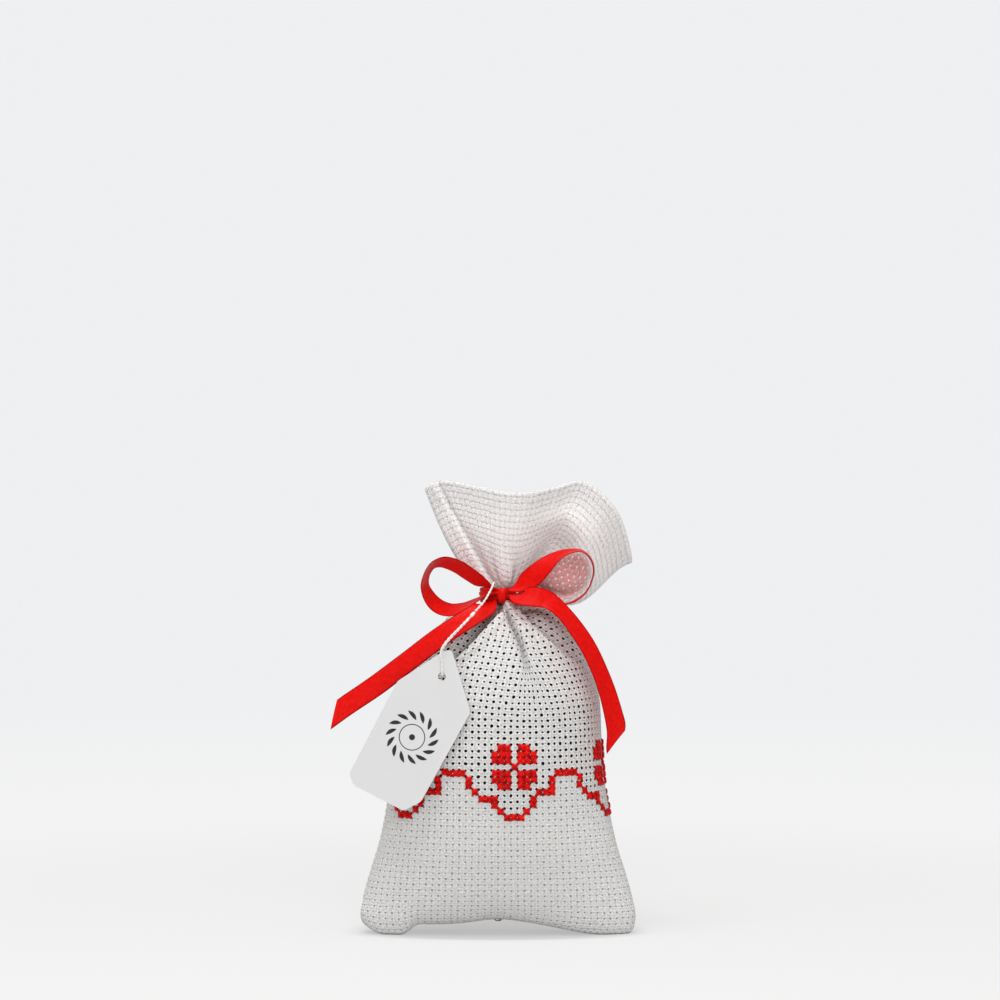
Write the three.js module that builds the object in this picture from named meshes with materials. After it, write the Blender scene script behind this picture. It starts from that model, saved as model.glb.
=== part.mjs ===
// A lavender sachet: a stuffed cross-stitch cloth bag, tied at the neck with a ribbon bow,
// embroidered round the belly, with a card tag on a string.
// Millimetres, +Z up, front towards -Y. The origin is on the ground below the middle of the bag.

import * as THREE from 'three';

const { degToRad, lerp, smoothstep } = THREE.MathUtils;

// Cloth
const squarePitch = 25.4 / 14; // one square of 14-count cross-stitch cloth
const squaresAround = 90;
const clothThickness = 0.8;
const clearance = 0.3; // gap between pieces that touch on the real bag

// Bag
const footHalfWidth = 39.3;
const bellyHalfWidth = 29.6;
const bellyHalfDepth = 22;
const neckRadius = 4.5;
const neckHeight = 96.5; // middle of the tie
const tieWidth = 4.6; // straight stretch of the neck that the ribbon grips
const archHeight = 3.1; // underside of the bag between its two feet
const archCrest = 1.5;
const seamTuck = 0.7; // the bottom seam draws the underside in
const pleatCount = 8;
const firstPleat = degToRad(16.875);

// Filling
const pouchThickness = 0.5;
const pouchFullHeight = 44; // up to here the pouch presses on the cloth
const pouchDome = 18;
const pouchMouth = 3;

// Stitching
const seamWidth = 0.6;
const seamHeight = 0.4;
const stitchHeight = 0.6;
const vineHalfWidth = 0.38; // in squares
const flowerHeight = 49.1; // middle row of the flowers
const flowerPeriod = 18; // squares from one flower to the next
const firstFlower = 7; // squares from the side seam

// Ribbon
const ribbonWidth = 6;
const ribbonThickness = 0.5;
const gatheredWidth = 2.4; // where the knot squeezes the ribbon
const gatherLength = 9;
const knotWidth = 2.4;
const knotDepth = 3;
const knotOffset = 1.2; // the knot sits a little right of the middle

// Tag
const tagThickness = 0.4;
const tagHoleRadius = 1.15;
const tagCorner = 1;
const tagLean = degToRad(28.5);
const tagTilt = degToRad(8);
const stringDiameter = 0.7;
const hangerDiameter = 1;
const stringKnotRadius = 0.95;

// Facets
const ringPoints = 56;
const ribbonSteps = 44;
const stringSteps = 36;
const cordSides = 8;

// Outline below the belly: height share, share of the way from belly to foot width, depth share,
// squareness of the section
const lowerOutline = [
  [0, 0.72, 0.045, 2.6],
  [0, 0.825, 0.255, 2.6],
  [0.017, 0.95, 0.336, 2.6],
  [0.053, 1, 0.4, 2.5],
  [0.106, 0.907, 0.48, 2.3],
  [0.18, 0.711, 0.6, 2.2],
  [0.265, 0.454, 0.745, 2.1],
  [0.36, 0.247, 0.864, 2],
  [0.467, 0.082, 0.955, 2],
  [0.583, 0, 1, 2],
];

// Outline above the belly: height share, width and depth shares from neck to belly, pleat share
const upperOutline = [
  [0.69, 0.984, 1, 0],
  [0.775, 0.92, 0.943, 0.03],
  [0.848, 0.817, 0.829, 0.08],
  [0.912, 0.673, 0.669, 0.16],
  [0.954, 0.514, 0.497, 0.26],
  [0.982, 0.339, 0.314, 0.34],
  [0.996, 0.124, 0.12, 0.34],
  [1, 0, 0, 0.3],
];

// Rim of the mouth, from the left corner by the front to the right corner and round the back,
// measured from the middle of the frill's foot
const rimPoints = [
  [-20, 0, 27.7],
  [-15.1, -4, 29.9],
  [-7.4, -8, 28.5],
  [0.6, -10, 26.8],
  [8.5, -9.5, 26.4],
  [16.5, -6, 28],
  [25, -3.5, 29.4],
  [34, -4, 20.5],
  [38, 0, 6.8],
  [34, 5, 15],
  [26.5, 8, 24],
  [18, 9.5, 26],
  [9.5, 10, 25.2],
  [1.5, 9.5, 25.4],
  [-6.5, 7.5, 26.5],
  [-14.5, 4, 27.8],
];
const frillSag = 8.5; // the right corner of the frill droops
const frillDent = 5; // hollow in the front of the frill
const dentTurn = 0.335;
const dentRise = 0.62;

// Routes of ribbon and string, measured from the middle of the knot: x, y and z. A ribbon also has the
// angle in degrees by which its width turns from edge-on to face-on, seen from the front.
const leftLoopRoute = [
  [-1.85, 0.1, 1.7, 0],
  [-4.2, -0.7, 2.9, 24],
  [-6.4, -1.3, 4.1, 38],
  [-9.7, -1.7, 6.5, 42],
  [-12.5, -1.8, 8.4, 42],
  [-15.9, -1.8, 9.6, 38],
  [-18.4, -1.8, 9.4, 28],
  [-20.3, -1.7, 8.2, 20],
  [-21.7, -1.6, 5.6, 18],
  [-22, -1.6, 2.4, 24],
  [-20.2, -1.6, -1.2, 36],
  [-17.6, -1.6, -3.4, 40],
  [-14.4, -1.4, -4.1, 36],
  [-11, -0.9, -3.1, 22],
  [-8, -0.4, -1.6, 12],
  [-4.9, 0, 0, 4],
  [-1.85, 0.1, 0.7, 0],
];
const rightLoopRoute = [
  [1.95, 0.1, 1.7, 0],
  [4.6, -0.9, 2.7, 46],
  [8.3, -1.9, 5.1, 58],
  [11.4, -2.5, 7.8, 50],
  [14.6, -2.9, 10.3, 36],
  [17.7, -3.2, 12, 20],
  [21.6, -3.2, 12.7, 8],
  [24.1, -3.2, 11.4, 4],
  [25.6, -3, 8.6, 2],
  [25.5, -2.6, 5.2, 0],
  [23.8, -2.2, 1.4, 0],
  [20.7, -1.8, -1.2, 0],
  [17.2, -1.5, -2.2, 0],
  [12, -0.5, -1.6, -30],
  [7, 1.2, -0.4, -50],
  [1.95, 0.3, -0.9, 0],
];
const leftTailRoute = [
  [-1.85, -0.4, -1.4, 0],
  [-3, -1.2, -1.9, -12],
  [-4.9, -6, -3.3, -34],
  [-7.8, -8.6, -5, -54],
  [-14, -9.6, -8.9, -68],
  [-19.7, -9.4, -12.9, -72],
  [-27.2, -8.8, -18.7, -75],
  [-35.4, -8, -24.9, -75],
  [-42.9, -7.4, -30, -75],
  [-47.4, -7.2, -33.2, -75],
];
const rightTailRoute = [
  [2.25, -0.5, 0.1, 0],
  [3.7, -2.2, 0.1, 6],
  [5.5, -6.5, -0.1, 36],
  [9.4, -8, -0.2, 50],
  [12.4, -7.6, -0.9, 50],
  [15.7, -7.8, -3.3, 48],
  [19.3, -7.4, -7.4, 48],
  [23.3, -6.6, -13.1, 48],
  [26.4, -5.8, -19.1, 50],
  [29.5, -4.8, -27.1, 58],
  [31.7, -4, -35.7, 64],
  [32, -3.8, -41.2, 66],
];
const hangerRoute = [
  [-7.5, -11.2, -4],
  [-5, -9.2, -1.2],
  [-3.2, -6, 1.8],
  [-2.3, -2.4, 3.6],
  [-2.1, 0.4, 3.2],
];
const stringKnotPlace = [-8.3, -11.8, -4.9];
const tailSlant = 3.1; // half the length of the slanting cut at a tail's end

// Cut outline of the tag from its hole: lower corners, shoulders and the hand-cut top
const tagOutline = [
  [-10, -36.6],
  [-7.4, -38.9],
  [8.5, -38.2],
  [11.5, -33.6],
  [11.8, -4.8],
  [-1.1, 7.8],
  [-2.9, 6.6],
  [-10.4, -7.3],
];

const colours = {
  cloth: 0xe6e2de,
  muslin: 0xe9e3d6,
  lavender: 0x6f6288,
  thread: 0xeeeae4,
  embroidery: 0xd21a12,
  ribbon: 0xd8200f,
  card: 0xf2f2f2,
  string: 0xf4f2ee,
};

// Joins rings of points into one closed solid. The first and last rings are closed by strips across
// them, unless the rings run round into each other.
function loft(rings, ringsMeet = false) {
  const count = rings[0].length;
  const positions = [];
  const faces = [];
  rings.flat().forEach((point) => positions.push(point.x, point.y, point.z));
  const at = (ring, i) => (ring % rings.length) * count + (i % count);
  const spans = ringsMeet ? rings.length : rings.length - 1;
  for (let ring = 0; ring < spans; ring += 1) {
    for (let i = 0; i < count; i += 1) {
      faces.push(at(ring, i), at(ring, i + 1), at(ring + 1, i + 1));
      faces.push(at(ring, i), at(ring + 1, i + 1), at(ring + 1, i));
    }
  }
  if (!ringsMeet) {
    const last = rings.length - 1;
    for (let i = 0; i < count / 2; i += 1) {
      const near = [i, i + 1];
      const far = [count - i, count - i - 1];
      if (i > 0) {
        faces.push(at(0, near[0]), at(0, far[0]), at(0, far[1]));
        faces.push(at(last, near[0]), at(last, far[1]), at(last, far[0]));
      }
      if (near[1] !== far[1]) {
        faces.push(at(0, near[0]), at(0, far[1]), at(0, near[1]));
        faces.push(at(last, near[0]), at(last, near[1]), at(last, far[1]));
      }
    }
  }
  return solid(positions, faces);
}

function solid(positions, faces) {
  const geometry = new THREE.BufferGeometry();
  geometry.setAttribute('position', new THREE.Float32BufferAttribute(positions, 3));
  geometry.setIndex(faces);
  return geometry;
}

// Body of the bag: stacked sections, each an oval with its own width, depth, squareness and pleats.
const bodyTop = neckHeight - tieWidth / 2;
const stations = [
  ...lowerOutline.map(([height, width, depth, squareness]) => ({
    height: height * bodyTop,
    halfWidth: lerp(bellyHalfWidth, footHalfWidth, width),
    halfDepth: depth * bellyHalfDepth,
    squareness,
    pleat: 0,
  })),
  ...upperOutline.map(([height, width, depth, pleat]) => ({
    height: height * bodyTop,
    halfWidth: lerp(neckRadius, bellyHalfWidth, width),
    halfDepth: lerp(neckRadius, bellyHalfDepth, depth),
    squareness: 2,
    pleat,
  })),
];
const neckStation = { ...stations.at(-1), height: neckHeight - clearance / 2 };

const archLeft = [-0.71 * footHalfWidth, -0.56 * footHalfWidth]; // foot to arch, a sharp step
const archRight = [0.2 * footHalfWidth, 0.79 * footHalfWidth]; // arch to foot, a long slope
const archReach = 14; // height over which the arch fades out
const floorReach = 6; // height over which an inner layer's floor lift fades out
const crestWidth = 9;

function archSpan(x) {
  return smoothstep(x, archLeft[0], archLeft[1]) * (1 - smoothstep(x, archRight[0], archRight[1]));
}

function archRise(x, height) {
  const crest = archCrest * Math.exp(-((x / crestWidth) ** 2));
  const fade = Math.max(0, 1 - height / archReach) ** 2;
  return (archHeight + crest) * archSpan(x) * fade;
}

function ringAngle(i) {
  return (2 * Math.PI * i) / ringPoints;
}

function pleatFactor(angle, pleat) {
  const valley = 0.5 + 0.5 * Math.cos(pleatCount * (angle - firstPleat));
  return 1 - pleat * valley ** 3;
}

function signedPower(value, power) {
  return Math.sign(value) * Math.abs(value) ** power;
}

function sectionPoint(station, angle, inset) {
  const power = 2 / station.squareness;
  const factor = pleatFactor(angle, station.pleat);
  const x = -(station.halfWidth * factor - inset) * signedPower(Math.cos(angle), power);
  const y = -(station.halfDepth * factor - inset) * signedPower(Math.sin(angle), power);
  const floorLift = inset * Math.max(0, 1 - station.height / floorReach);
  return new THREE.Vector3(x, y, station.height + floorLift + archRise(x, station.height));
}

function sectionRing(station, inset) {
  return Array.from({ length: ringPoints }, (_, i) => sectionPoint(station, ringAngle(i), inset));
}

function bagBody() {
  const outer = [...stations, neckStation].map((station) => sectionRing(station, 0));
  outer[0].forEach((point) => {
    point.z += seamTuck * archSpan(point.x);
  });
  const inner = [...stations, neckStation].slice(2).map((station) => sectionRing(station, clothThickness));
  return loft([...outer, ...inner.reverse()]);
}

// Pouch and filling: the body's own sections up to where they press on the cloth, then a dome.
function stationAt(height) {
  const next = stations.findIndex((station, i) => i > 1 && station.height >= height);
  const [low, high] = [stations[next - 1], stations[next]];
  const share = (height - low.height) / (high.height - low.height);
  return {
    height,
    halfWidth: lerp(low.halfWidth, high.halfWidth, share),
    halfDepth: lerp(low.halfDepth, high.halfDepth, share),
    squareness: lerp(low.squareness, high.squareness, share),
    pleat: lerp(low.pleat, high.pleat, share),
  };
}

const domeSteps = 5;
const pouchFloor = 3; // station where the pouch's floor begins

function fillingRings(inset, domeHeight, topRadius) {
  const full = stationAt(pouchFullHeight);
  const lower = stations.slice(pouchFloor).filter((station) => station.height < pouchFullHeight);
  const rings = [...lower, full].map((station) => sectionRing(station, inset));
  for (let step = 1; step <= domeSteps; step += 1) {
    const angle = (Math.PI / 2) * (step / domeSteps);
    const station = {
      ...full,
      height: full.height + domeHeight * Math.sin(angle),
      halfWidth: lerp(topRadius, full.halfWidth - inset, Math.cos(angle)),
      halfDepth: lerp(topRadius, full.halfDepth - inset, Math.cos(angle)),
    };
    rings.push(sectionRing(station, 0));
  }
  return rings;
}

const pouchInset = clothThickness + 1.5 * clearance;
const fillInset = pouchInset + pouchThickness + clearance;

function innerPouch() {
  const outer = fillingRings(pouchInset, pouchDome, pouchMouth);
  const inner = fillingRings(
    pouchInset + pouchThickness,
    pouchDome - pouchThickness,
    pouchMouth - pouchThickness,
  );
  inner[0].forEach((point) => {
    point.z += pouchThickness;
  });
  inner.push(inner.at(-1).map((point, i) => point.clone().setZ(outer.at(-1)[i].z)));
  return loft([...outer, ...inner.reverse()]);
}

function lavenderFilling() {
  const drop = pouchThickness + clearance;
  const rings = fillingRings(fillInset, pouchDome - drop, pouchMouth - drop);
  rings[0].forEach((point) => {
    point.z += drop;
  });
  return loft(rings);
}

// Frill above the tie: from the gathered neck out to the rim of the mouth.
const frillFoot = new THREE.Vector3(0, 0, neckHeight + tieWidth / 2);
const rim = new THREE.CatmullRomCurve3(
  rimPoints.map((point) => new THREE.Vector3(...point)),
  true,
);
const frillRises = [0, 0.1, 0.2, 0.32, 0.45, 0.58, 0.72, 0.86, 1];
const neckPleat = upperOutline.at(-1)[3];
const flareMiddle = 0.72;
const flareSwing = 0.13; // the left edge bulges, the right one runs straighter
const flareUp = 1.1;
const sagReach = 0.12;
const dentReach = [0.055, 0.24];

function bump(distance, reach) {
  return Math.exp(-((distance / reach) ** 2));
}

function frillPoint(turn, rise) {
  const angle = 2 * Math.PI * turn;
  const radius = neckRadius * pleatFactor(angle, neckPleat * (1 - rise));
  const edge = rim.getPointAt(((turn % 1) + 1) % 1);
  const across = rise ** (flareMiddle - flareSwing * Math.cos(angle));
  const sag = frillSag * Math.sin(Math.PI * rise) ** 2 * bump(turn - 0.5, sagReach);
  const dent = frillDent * bump(turn - dentTurn, dentReach[0]) * bump(rise - dentRise, dentReach[1]);
  return new THREE.Vector3(
    lerp(-radius * Math.cos(angle), edge.x, across),
    lerp(-radius * Math.sin(angle), edge.y, across) + dent,
    edge.z * rise ** flareUp - sag,
  ).add(frillFoot);
}

const probe = 0.004; // step for measuring a surface's slope

function frillInner(turn, rise) {
  const low = Math.max(0, rise - probe);
  const high = Math.min(1, rise + probe);
  const along = frillPoint(turn + probe, rise).sub(frillPoint(turn - probe, rise));
  const up = frillPoint(turn, high).sub(frillPoint(turn, low));
  const outward = along.cross(up).normalize();
  return frillPoint(turn, rise).addScaledVector(outward, -clothThickness);
}

function bagFrill() {
  const ring = (point, rise) =>
    Array.from({ length: ringPoints }, (_, i) => point(i / ringPoints, rise));
  const outer = frillRises.map((rise) => ring(frillPoint, rise));
  const inner = frillRises.slice(1).map((rise) => ring(frillInner, rise));
  const collar = neckHeight + clearance / 2;
  const outerCollar = outer[0].map((point) => point.clone().setZ(collar));
  const innerCollar = outerCollar.map((point) => {
    const radius = Math.hypot(point.x, point.y);
    const share = (radius - clothThickness) / radius;
    return new THREE.Vector3(point.x * share, point.y * share, collar);
  });
  const innerFoot = innerCollar.map((point) => point.clone().setZ(frillFoot.z + clothThickness));
  return loft([outerCollar, ...outer, ...inner.reverse(), innerFoot, innerCollar], true);
}

// Places on the cloth: squares round from the side seam, height, and lift off the surface.
const arcSteps = 720;
const arcLengths = [0];
for (let i = 1; i <= arcSteps; i += 1) {
  const [before, here] = [i - 1, i].map((step) => (2 * Math.PI * step) / arcSteps);
  const across = bellyHalfWidth * (Math.cos(here) - Math.cos(before));
  const deep = bellyHalfDepth * (Math.sin(here) - Math.sin(before));
  arcLengths.push(arcLengths[i - 1] + Math.hypot(across, deep));
}

function angleAtSquare(square) {
  const target = (square / squaresAround) * arcLengths[arcSteps];
  const next = Math.max(1, arcLengths.findIndex((length) => length >= target));
  const share = (target - arcLengths[next - 1]) / (arcLengths[next] - arcLengths[next - 1]);
  return (2 * Math.PI * (next - 1 + share)) / arcSteps;
}

function clothPoint(square, height, lift) {
  const station = stationAt(height);
  const angle = angleAtSquare(square);
  const outward = new THREE.Vector3(
    -Math.cos(angle) / station.halfWidth,
    -Math.sin(angle) / station.halfDepth,
    0,
  ).normalize();
  return sectionPoint(station, angle, 0).addScaledVector(outward, lift);
}

const stitchLow = clearance;
const stitchTop = clearance + stitchHeight;

function stitchPoint(square, row, lift) {
  return clothPoint(square, flowerHeight - row * squarePitch, lift);
}

// A flower of four petals, each three squares across with its outer corner left out, joined by one
// stitch in the middle.
const petalLines = [-3.5, -2.5, -1, -0.5, 0.5, 1, 2.5, 3.5];

function isStitched(across, down) {
  const [near, far] = [Math.min(across, down), Math.max(across, down)];
  const petal = near > 0.5 && !(near > 2.5);
  const heart = near < 0.5 && far < 1;
  return petal || heart;
}

function flower(centre) {
  const size = petalLines.length;
  const middle = (i) => Math.abs(petalLines[i] + petalLines[i + 1]) / 2;
  const inside = (i) => i >= 0 && i < size - 1;
  const filled = (i, j) => inside(i) && inside(j) && isStitched(middle(i), middle(j));
  const positions = [];
  const faces = [];
  const used = new Map();
  const corner = (i, j, lift) => {
    const key = `${i} ${j} ${lift}`;
    if (!used.has(key)) {
      used.set(key, positions.length / 3);
      positions.push(...stitchPoint(centre + petalLines[i], petalLines[j], lift).toArray());
    }
    return used.get(key);
  };
  for (let i = 0; i < size - 1; i += 1) {
    for (let j = 0; j < size - 1; j += 1) {
      if (!filled(i, j)) continue;
      const cell = [[i, j], [i, j + 1], [i + 1, j + 1], [i + 1, j]];
      const top = cell.map(([a, b]) => corner(a, b, stitchTop));
      const low = cell.map(([a, b]) => corner(a, b, stitchLow));
      faces.push(top[0], top[1], top[2], top[0], top[2], top[3]);
      faces.push(low[0], low[2], low[1], low[0], low[3], low[2]);
      const beside = [[i - 1, j], [i, j + 1], [i + 1, j], [i, j - 1]];
      beside.forEach(([a, b], side) => {
        if (filled(a, b)) return;
        const [from, to] = [side, (side + 1) % 4];
        faces.push(top[to], top[from], low[from], top[to], low[from], low[to]);
      });
    }
  }
  return solid(positions, faces);
}

// The vine: stitches stepping down and up once between flowers, as squares right and rows down of a
// flower's middle.
const vineSteps = [
  [-7, 2], [-7, 3], [-6, 4], [-5, 5], [-4, 5], [-3, 5], [-3, 6], [-2, 7], [-1, 8], [0, 8], [1, 8], [2, 7],
  [3, 6], [3, 5], [4, 4], [5, 4], [6, 4], [6, 3], [6, 2], [7, 1], [8, 1], [9, 1], [10, 1],
];
const flowerCentres = [];
for (let square = firstFlower; square < squaresAround; square += flowerPeriod) {
  flowerCentres.push(square);
}

function vine() {
  const seamMargin = 1; // squares kept clear of the side seam
  const route = flowerCentres
    .flatMap((centre) => vineSteps.map(([across, row]) => new THREE.Vector2(centre + across, row)))
    .filter((point) => point.x >= seamMargin && point.x <= squaresAround - seamMargin);
  const rings = route.map((point, i) => {
    const before = point.clone().sub(route[Math.max(0, i - 1)]).normalize();
    const after = route[Math.min(route.length - 1, i + 1)].clone().sub(point).normalize();
    const onward = before.add(after).normalize();
    const mitre = vineHalfWidth / Math.max(0.5, Math.abs(onward.dot(after.lengthSq() ? after : onward)));
    const side = new THREE.Vector2(onward.y, -onward.x).multiplyScalar(mitre);
    const [below, above] = [point.clone().sub(side), point.clone().add(side)];
    return [
      stitchPoint(below.x, below.y, stitchLow),
      stitchPoint(above.x, above.y, stitchLow),
      stitchPoint(above.x, above.y, stitchTop),
      stitchPoint(below.x, below.y, stitchTop),
    ];
  });
  return loft(rings);
}

// Seams: a line of thread up the left side, and one along the underside between the feet.
function strip(points, outward, width, height) {
  const rings = points.map((point, i) => {
    const before = points[Math.max(0, i - 1)];
    const after = points[Math.min(points.length - 1, i + 1)];
    const onward = after.clone().sub(before).normalize();
    const across = outward.clone().cross(onward).normalize().multiplyScalar(width / 2);
    const raise = outward.clone().multiplyScalar(height);
    const low = point.clone().sub(across);
    const high = point.clone().add(across);
    return [low, high, high.clone().add(raise), low.clone().add(raise)];
  });
  return loft(rings);
}

function sideSeam() {
  const first = 4; // from above the foot
  const last = lowerOutline.length + 3; // to below the gathered shoulder
  const left = new THREE.Vector3(-1, 0, 0);
  const points = stations.slice(first, last).map((station) =>
    sectionPoint(station, 0, 0).addScaledVector(left, clearance));
  return strip(points, left, seamWidth, seamHeight);
}

function bottomSeam() {
  const steps = 16;
  const down = new THREE.Vector3(0, 0, -1);
  const [from, to] = [archLeft[1], lerp(archRight[0], archRight[1], 0.5)];
  const points = Array.from({ length: steps + 1 }, (_, i) => {
    const x = lerp(from, to, i / steps);
    const height = archRise(x, 0) + seamTuck * archSpan(x);
    return new THREE.Vector3(x, 0, height - 1.5 * clearance);
  });
  return strip(points, down, seamWidth, seamHeight);
}

// Ribbon: a band round the neck, a knot in front of it, and flat stretches that leave the knot.
const wrapInner = neckRadius + clearance;
const wrapOuter = wrapInner + ribbonThickness;
const knotCentre = new THREE.Vector3(knotOffset, -(wrapOuter + clearance + knotDepth / 2), neckHeight);

function ribbonWrap() {
  const half = tieWidth / 2 - clearance;
  const outline = [
    new THREE.Vector2(wrapInner, -half),
    new THREE.Vector2(wrapOuter, -half),
    new THREE.Vector2(wrapOuter, half),
    new THREE.Vector2(wrapInner, half),
    new THREE.Vector2(wrapInner, -half),
  ];
  const geometry = new THREE.LatheGeometry(outline, ringPoints / 2);
  return geometry.rotateX(Math.PI / 2).translate(0, 0, neckHeight);
}

function ribbonKnot() {
  const bevel = 0.4;
  const oval = new THREE.Shape();
  oval.absellipse(0, 0, knotDepth / 2 - bevel, tieWidth / 2 - bevel, 0, 2 * Math.PI);
  const geometry = new THREE.ExtrudeGeometry(oval, {
    depth: knotWidth - 2 * bevel,
    curveSegments: 16,
    bevelSize: bevel,
    bevelThickness: bevel,
    bevelSegments: 2,
  });
  geometry.translate(0, 0, bevel - knotWidth / 2);
  const place = new THREE.Matrix4().makeBasis(
    new THREE.Vector3(0, 1, 0),
    new THREE.Vector3(0, 0, 1),
    new THREE.Vector3(1, 0, 0),
  );
  return geometry.applyMatrix4(place.setPosition(knotCentre));
}

function ribbonStretch(route, gatherBothEnds, slant) {
  const curve = new THREE.CatmullRomCurve3(
    route.map(([x, y, z]) => new THREE.Vector3(x, y, z).add(knotCentre)),
  );
  const depth = new THREE.Vector3(0, 1, 0);
  const faces = route.map((point) => degToRad(point[3]));
  const length = curve.getLength();
  const rings = [];
  for (let step = 0; step <= ribbonSteps; step += 1) {
    const share = step / ribbonSteps;
    const index = share * (route.length - 1);
    const before = Math.min(route.length - 2, Math.floor(index));
    const face = lerp(faces[before], faces[before + 1], index - before);
    const onward = curve.getTangent(share);
    const across = onward.clone().cross(depth).normalize();
    const side = depth.clone().addScaledVector(onward, -depth.dot(onward)).normalize();
    side.multiplyScalar(Math.cos(face)).addScaledVector(across, Math.sin(face)).normalize();
    const fromKnot = length * (gatherBothEnds ? Math.min(share, 1 - share) : share);
    const width = lerp(gatheredWidth, ribbonWidth, smoothstep(fromKnot, 0, gatherLength));
    const raise = onward.clone().cross(side).multiplyScalar(ribbonThickness / 2);
    const centre = curve.getPoint(share);
    const cut = onward.clone().multiplyScalar(slant * smoothstep(share, 0.8, 1));
    const edge = (sign) => centre.clone()
      .addScaledVector(side, (sign * width) / 2)
      .addScaledVector(cut, sign);
    const [low, high] = [edge(-1), edge(1)];
    rings.push([
      low.clone().sub(raise),
      high.clone().sub(raise),
      high.clone().add(raise),
      low.clone().add(raise),
    ]);
  }
  return loft(rings);
}

// Tag: a card with a punched hole, leaning on the belly, and the string that it hangs on.
const tagRight = new THREE.Vector3(Math.cos(tagTilt), -Math.sin(tagTilt), 0);
const tagUp = new THREE.Vector3(0, 0, 1);
const cardRight = tagRight.clone()
  .multiplyScalar(Math.cos(tagLean))
  .addScaledVector(tagUp, -Math.sin(tagLean));
const cardUp = tagRight.clone()
  .multiplyScalar(Math.sin(tagLean))
  .addScaledVector(tagUp, Math.cos(tagLean));
const cardFront = cardRight.clone().cross(cardUp);
const holeDrop = 22.1; // hole below the knot
const holeLeft = 16.8; // hole left of the knot
const bellyRecess = 0.9; // the belly curves back behind the hole
const tagHole = new THREE.Vector3(
  knotCentre.x - holeLeft,
  -(bellyHalfDepth - bellyRecess),
  neckHeight - holeDrop,
);

function onTag(right, up, front) {
  return tagHole.clone()
    .addScaledVector(cardRight, right)
    .addScaledVector(cardUp, up)
    .addScaledVector(cardFront, front);
}

function tagCard() {
  const card = new THREE.Shape();
  const corners = tagOutline.map(([right, up]) => new THREE.Vector2(right, up));
  corners.forEach((corner, i) => {
    const last = corners[(i + corners.length - 1) % corners.length];
    const next = corners[(i + 1) % corners.length];
    const before = last.clone().sub(corner).setLength(tagCorner);
    const after = next.clone().sub(corner).setLength(tagCorner);
    const [start, end] = [corner.clone().add(before), corner.clone().add(after)];
    if (i === 0) card.moveTo(start.x, start.y);
    else card.lineTo(start.x, start.y);
    card.quadraticCurveTo(corner.x, corner.y, end.x, end.y);
  });
  card.closePath();
  const hole = new THREE.Path();
  hole.absarc(0, 0, tagHoleRadius, 0, 2 * Math.PI, true);
  card.holes.push(hole);
  const geometry = new THREE.ExtrudeGeometry(card, {
    depth: tagThickness,
    curveSegments: 6,
    bevelEnabled: false,
  });
  geometry.translate(0, 0, -tagThickness / 2);
  const place = new THREE.Matrix4().makeBasis(cardRight, cardUp, cardFront);
  return geometry.applyMatrix4(place.setPosition(tagHole));
}

function cord(points, diameter) {
  const section = new THREE.Shape(
    Array.from({ length: cordSides }, (_, i) => {
      const angle = (2 * Math.PI * i) / cordSides;
      return new THREE.Vector2(Math.cos(angle), Math.sin(angle)).multiplyScalar(diameter / 2);
    }),
  );
  const extrudePath = new THREE.CatmullRomCurve3(points);
  return new THREE.ExtrudeGeometry(section, { steps: stringSteps, extrudePath });
}

function fromKnot([x, y, z]) {
  return new THREE.Vector3(x, y, z).add(knotCentre);
}

const stringKnotCentre = fromKnot(stringKnotPlace);

function stringHanger() {
  return cord(hangerRoute.map(fromKnot), hangerDiameter);
}

// The doubled string comes over the card's upper left corner and goes through the hole.
const stringBend = [
  [-3.6, 7.6],
  [-1.6, 3.2],
  [-0.4, 0.9],
];
const holeBearing = 0.3; // the string hangs in the upper half of the hole

function tagString() {
  const offFace = tagThickness / 2 + 1.5 * clearance + stringDiameter / 2;
  const overTop = stringBend[0];
  const apart = cardFront.clone().multiplyScalar(stringDiameter / 2 + clearance);
  const towards = onTag(...overTop, 0).sub(stringKnotCentre).normalize();
  const fromCentre = stringKnotRadius + clearance + stringDiameter / 2;
  const start = stringKnotCentre.clone().addScaledVector(towards, fromCentre);
  const lifts = [offFace + clearance, offFace, offFace * 0.8];
  const leg = (side) => stringBend.map(([right, up], i) => onTag(right, up, side * lifts[i]));
  return cord(
    [
      start.clone().add(apart),
      ...leg(1),
      onTag(0, holeBearing, 0),
      ...leg(-1).reverse(),
      start.clone().sub(apart),
    ],
    stringDiameter,
  );
}

function stringKnot() {
  return new THREE.SphereGeometry(stringKnotRadius, 12, 8).translate(...stringKnotCentre.toArray());
}

const sachet = new THREE.Group();

function addPiece(name, geometry, color, roughness) {
  const material = new THREE.MeshStandardMaterial({ color, roughness, metalness: 0 });
  const mesh = new THREE.Mesh(geometry, material);
  mesh.name = name;
  sachet.add(mesh);
}

addPiece('bag_body', bagBody(), colours.cloth, 0.9);
addPiece('bag_frill', bagFrill(), colours.cloth, 0.9);
addPiece('inner_pouch', innerPouch(), colours.muslin, 0.95);
addPiece('lavender_filling', lavenderFilling(), colours.lavender, 0.95);
addPiece('side_seam', sideSeam(), colours.thread, 0.85);
addPiece('bottom_seam', bottomSeam(), colours.thread, 0.85);
addPiece('embroidered_vine', vine(), colours.embroidery, 0.7);
flowerCentres.forEach((centre, i) => {
  addPiece(`embroidered_flower_${i + 1}`, flower(centre), colours.embroidery, 0.7);
});
addPiece('ribbon_neck_wrap', ribbonWrap(), colours.ribbon, 0.4);
addPiece('ribbon_knot', ribbonKnot(), colours.ribbon, 0.4);
addPiece('ribbon_left_loop', ribbonStretch(leftLoopRoute, true, 0), colours.ribbon, 0.4);
addPiece('ribbon_right_loop', ribbonStretch(rightLoopRoute, true, 0), colours.ribbon, 0.4);
addPiece('ribbon_left_tail', ribbonStretch(leftTailRoute, false, -tailSlant), colours.ribbon, 0.4);
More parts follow.
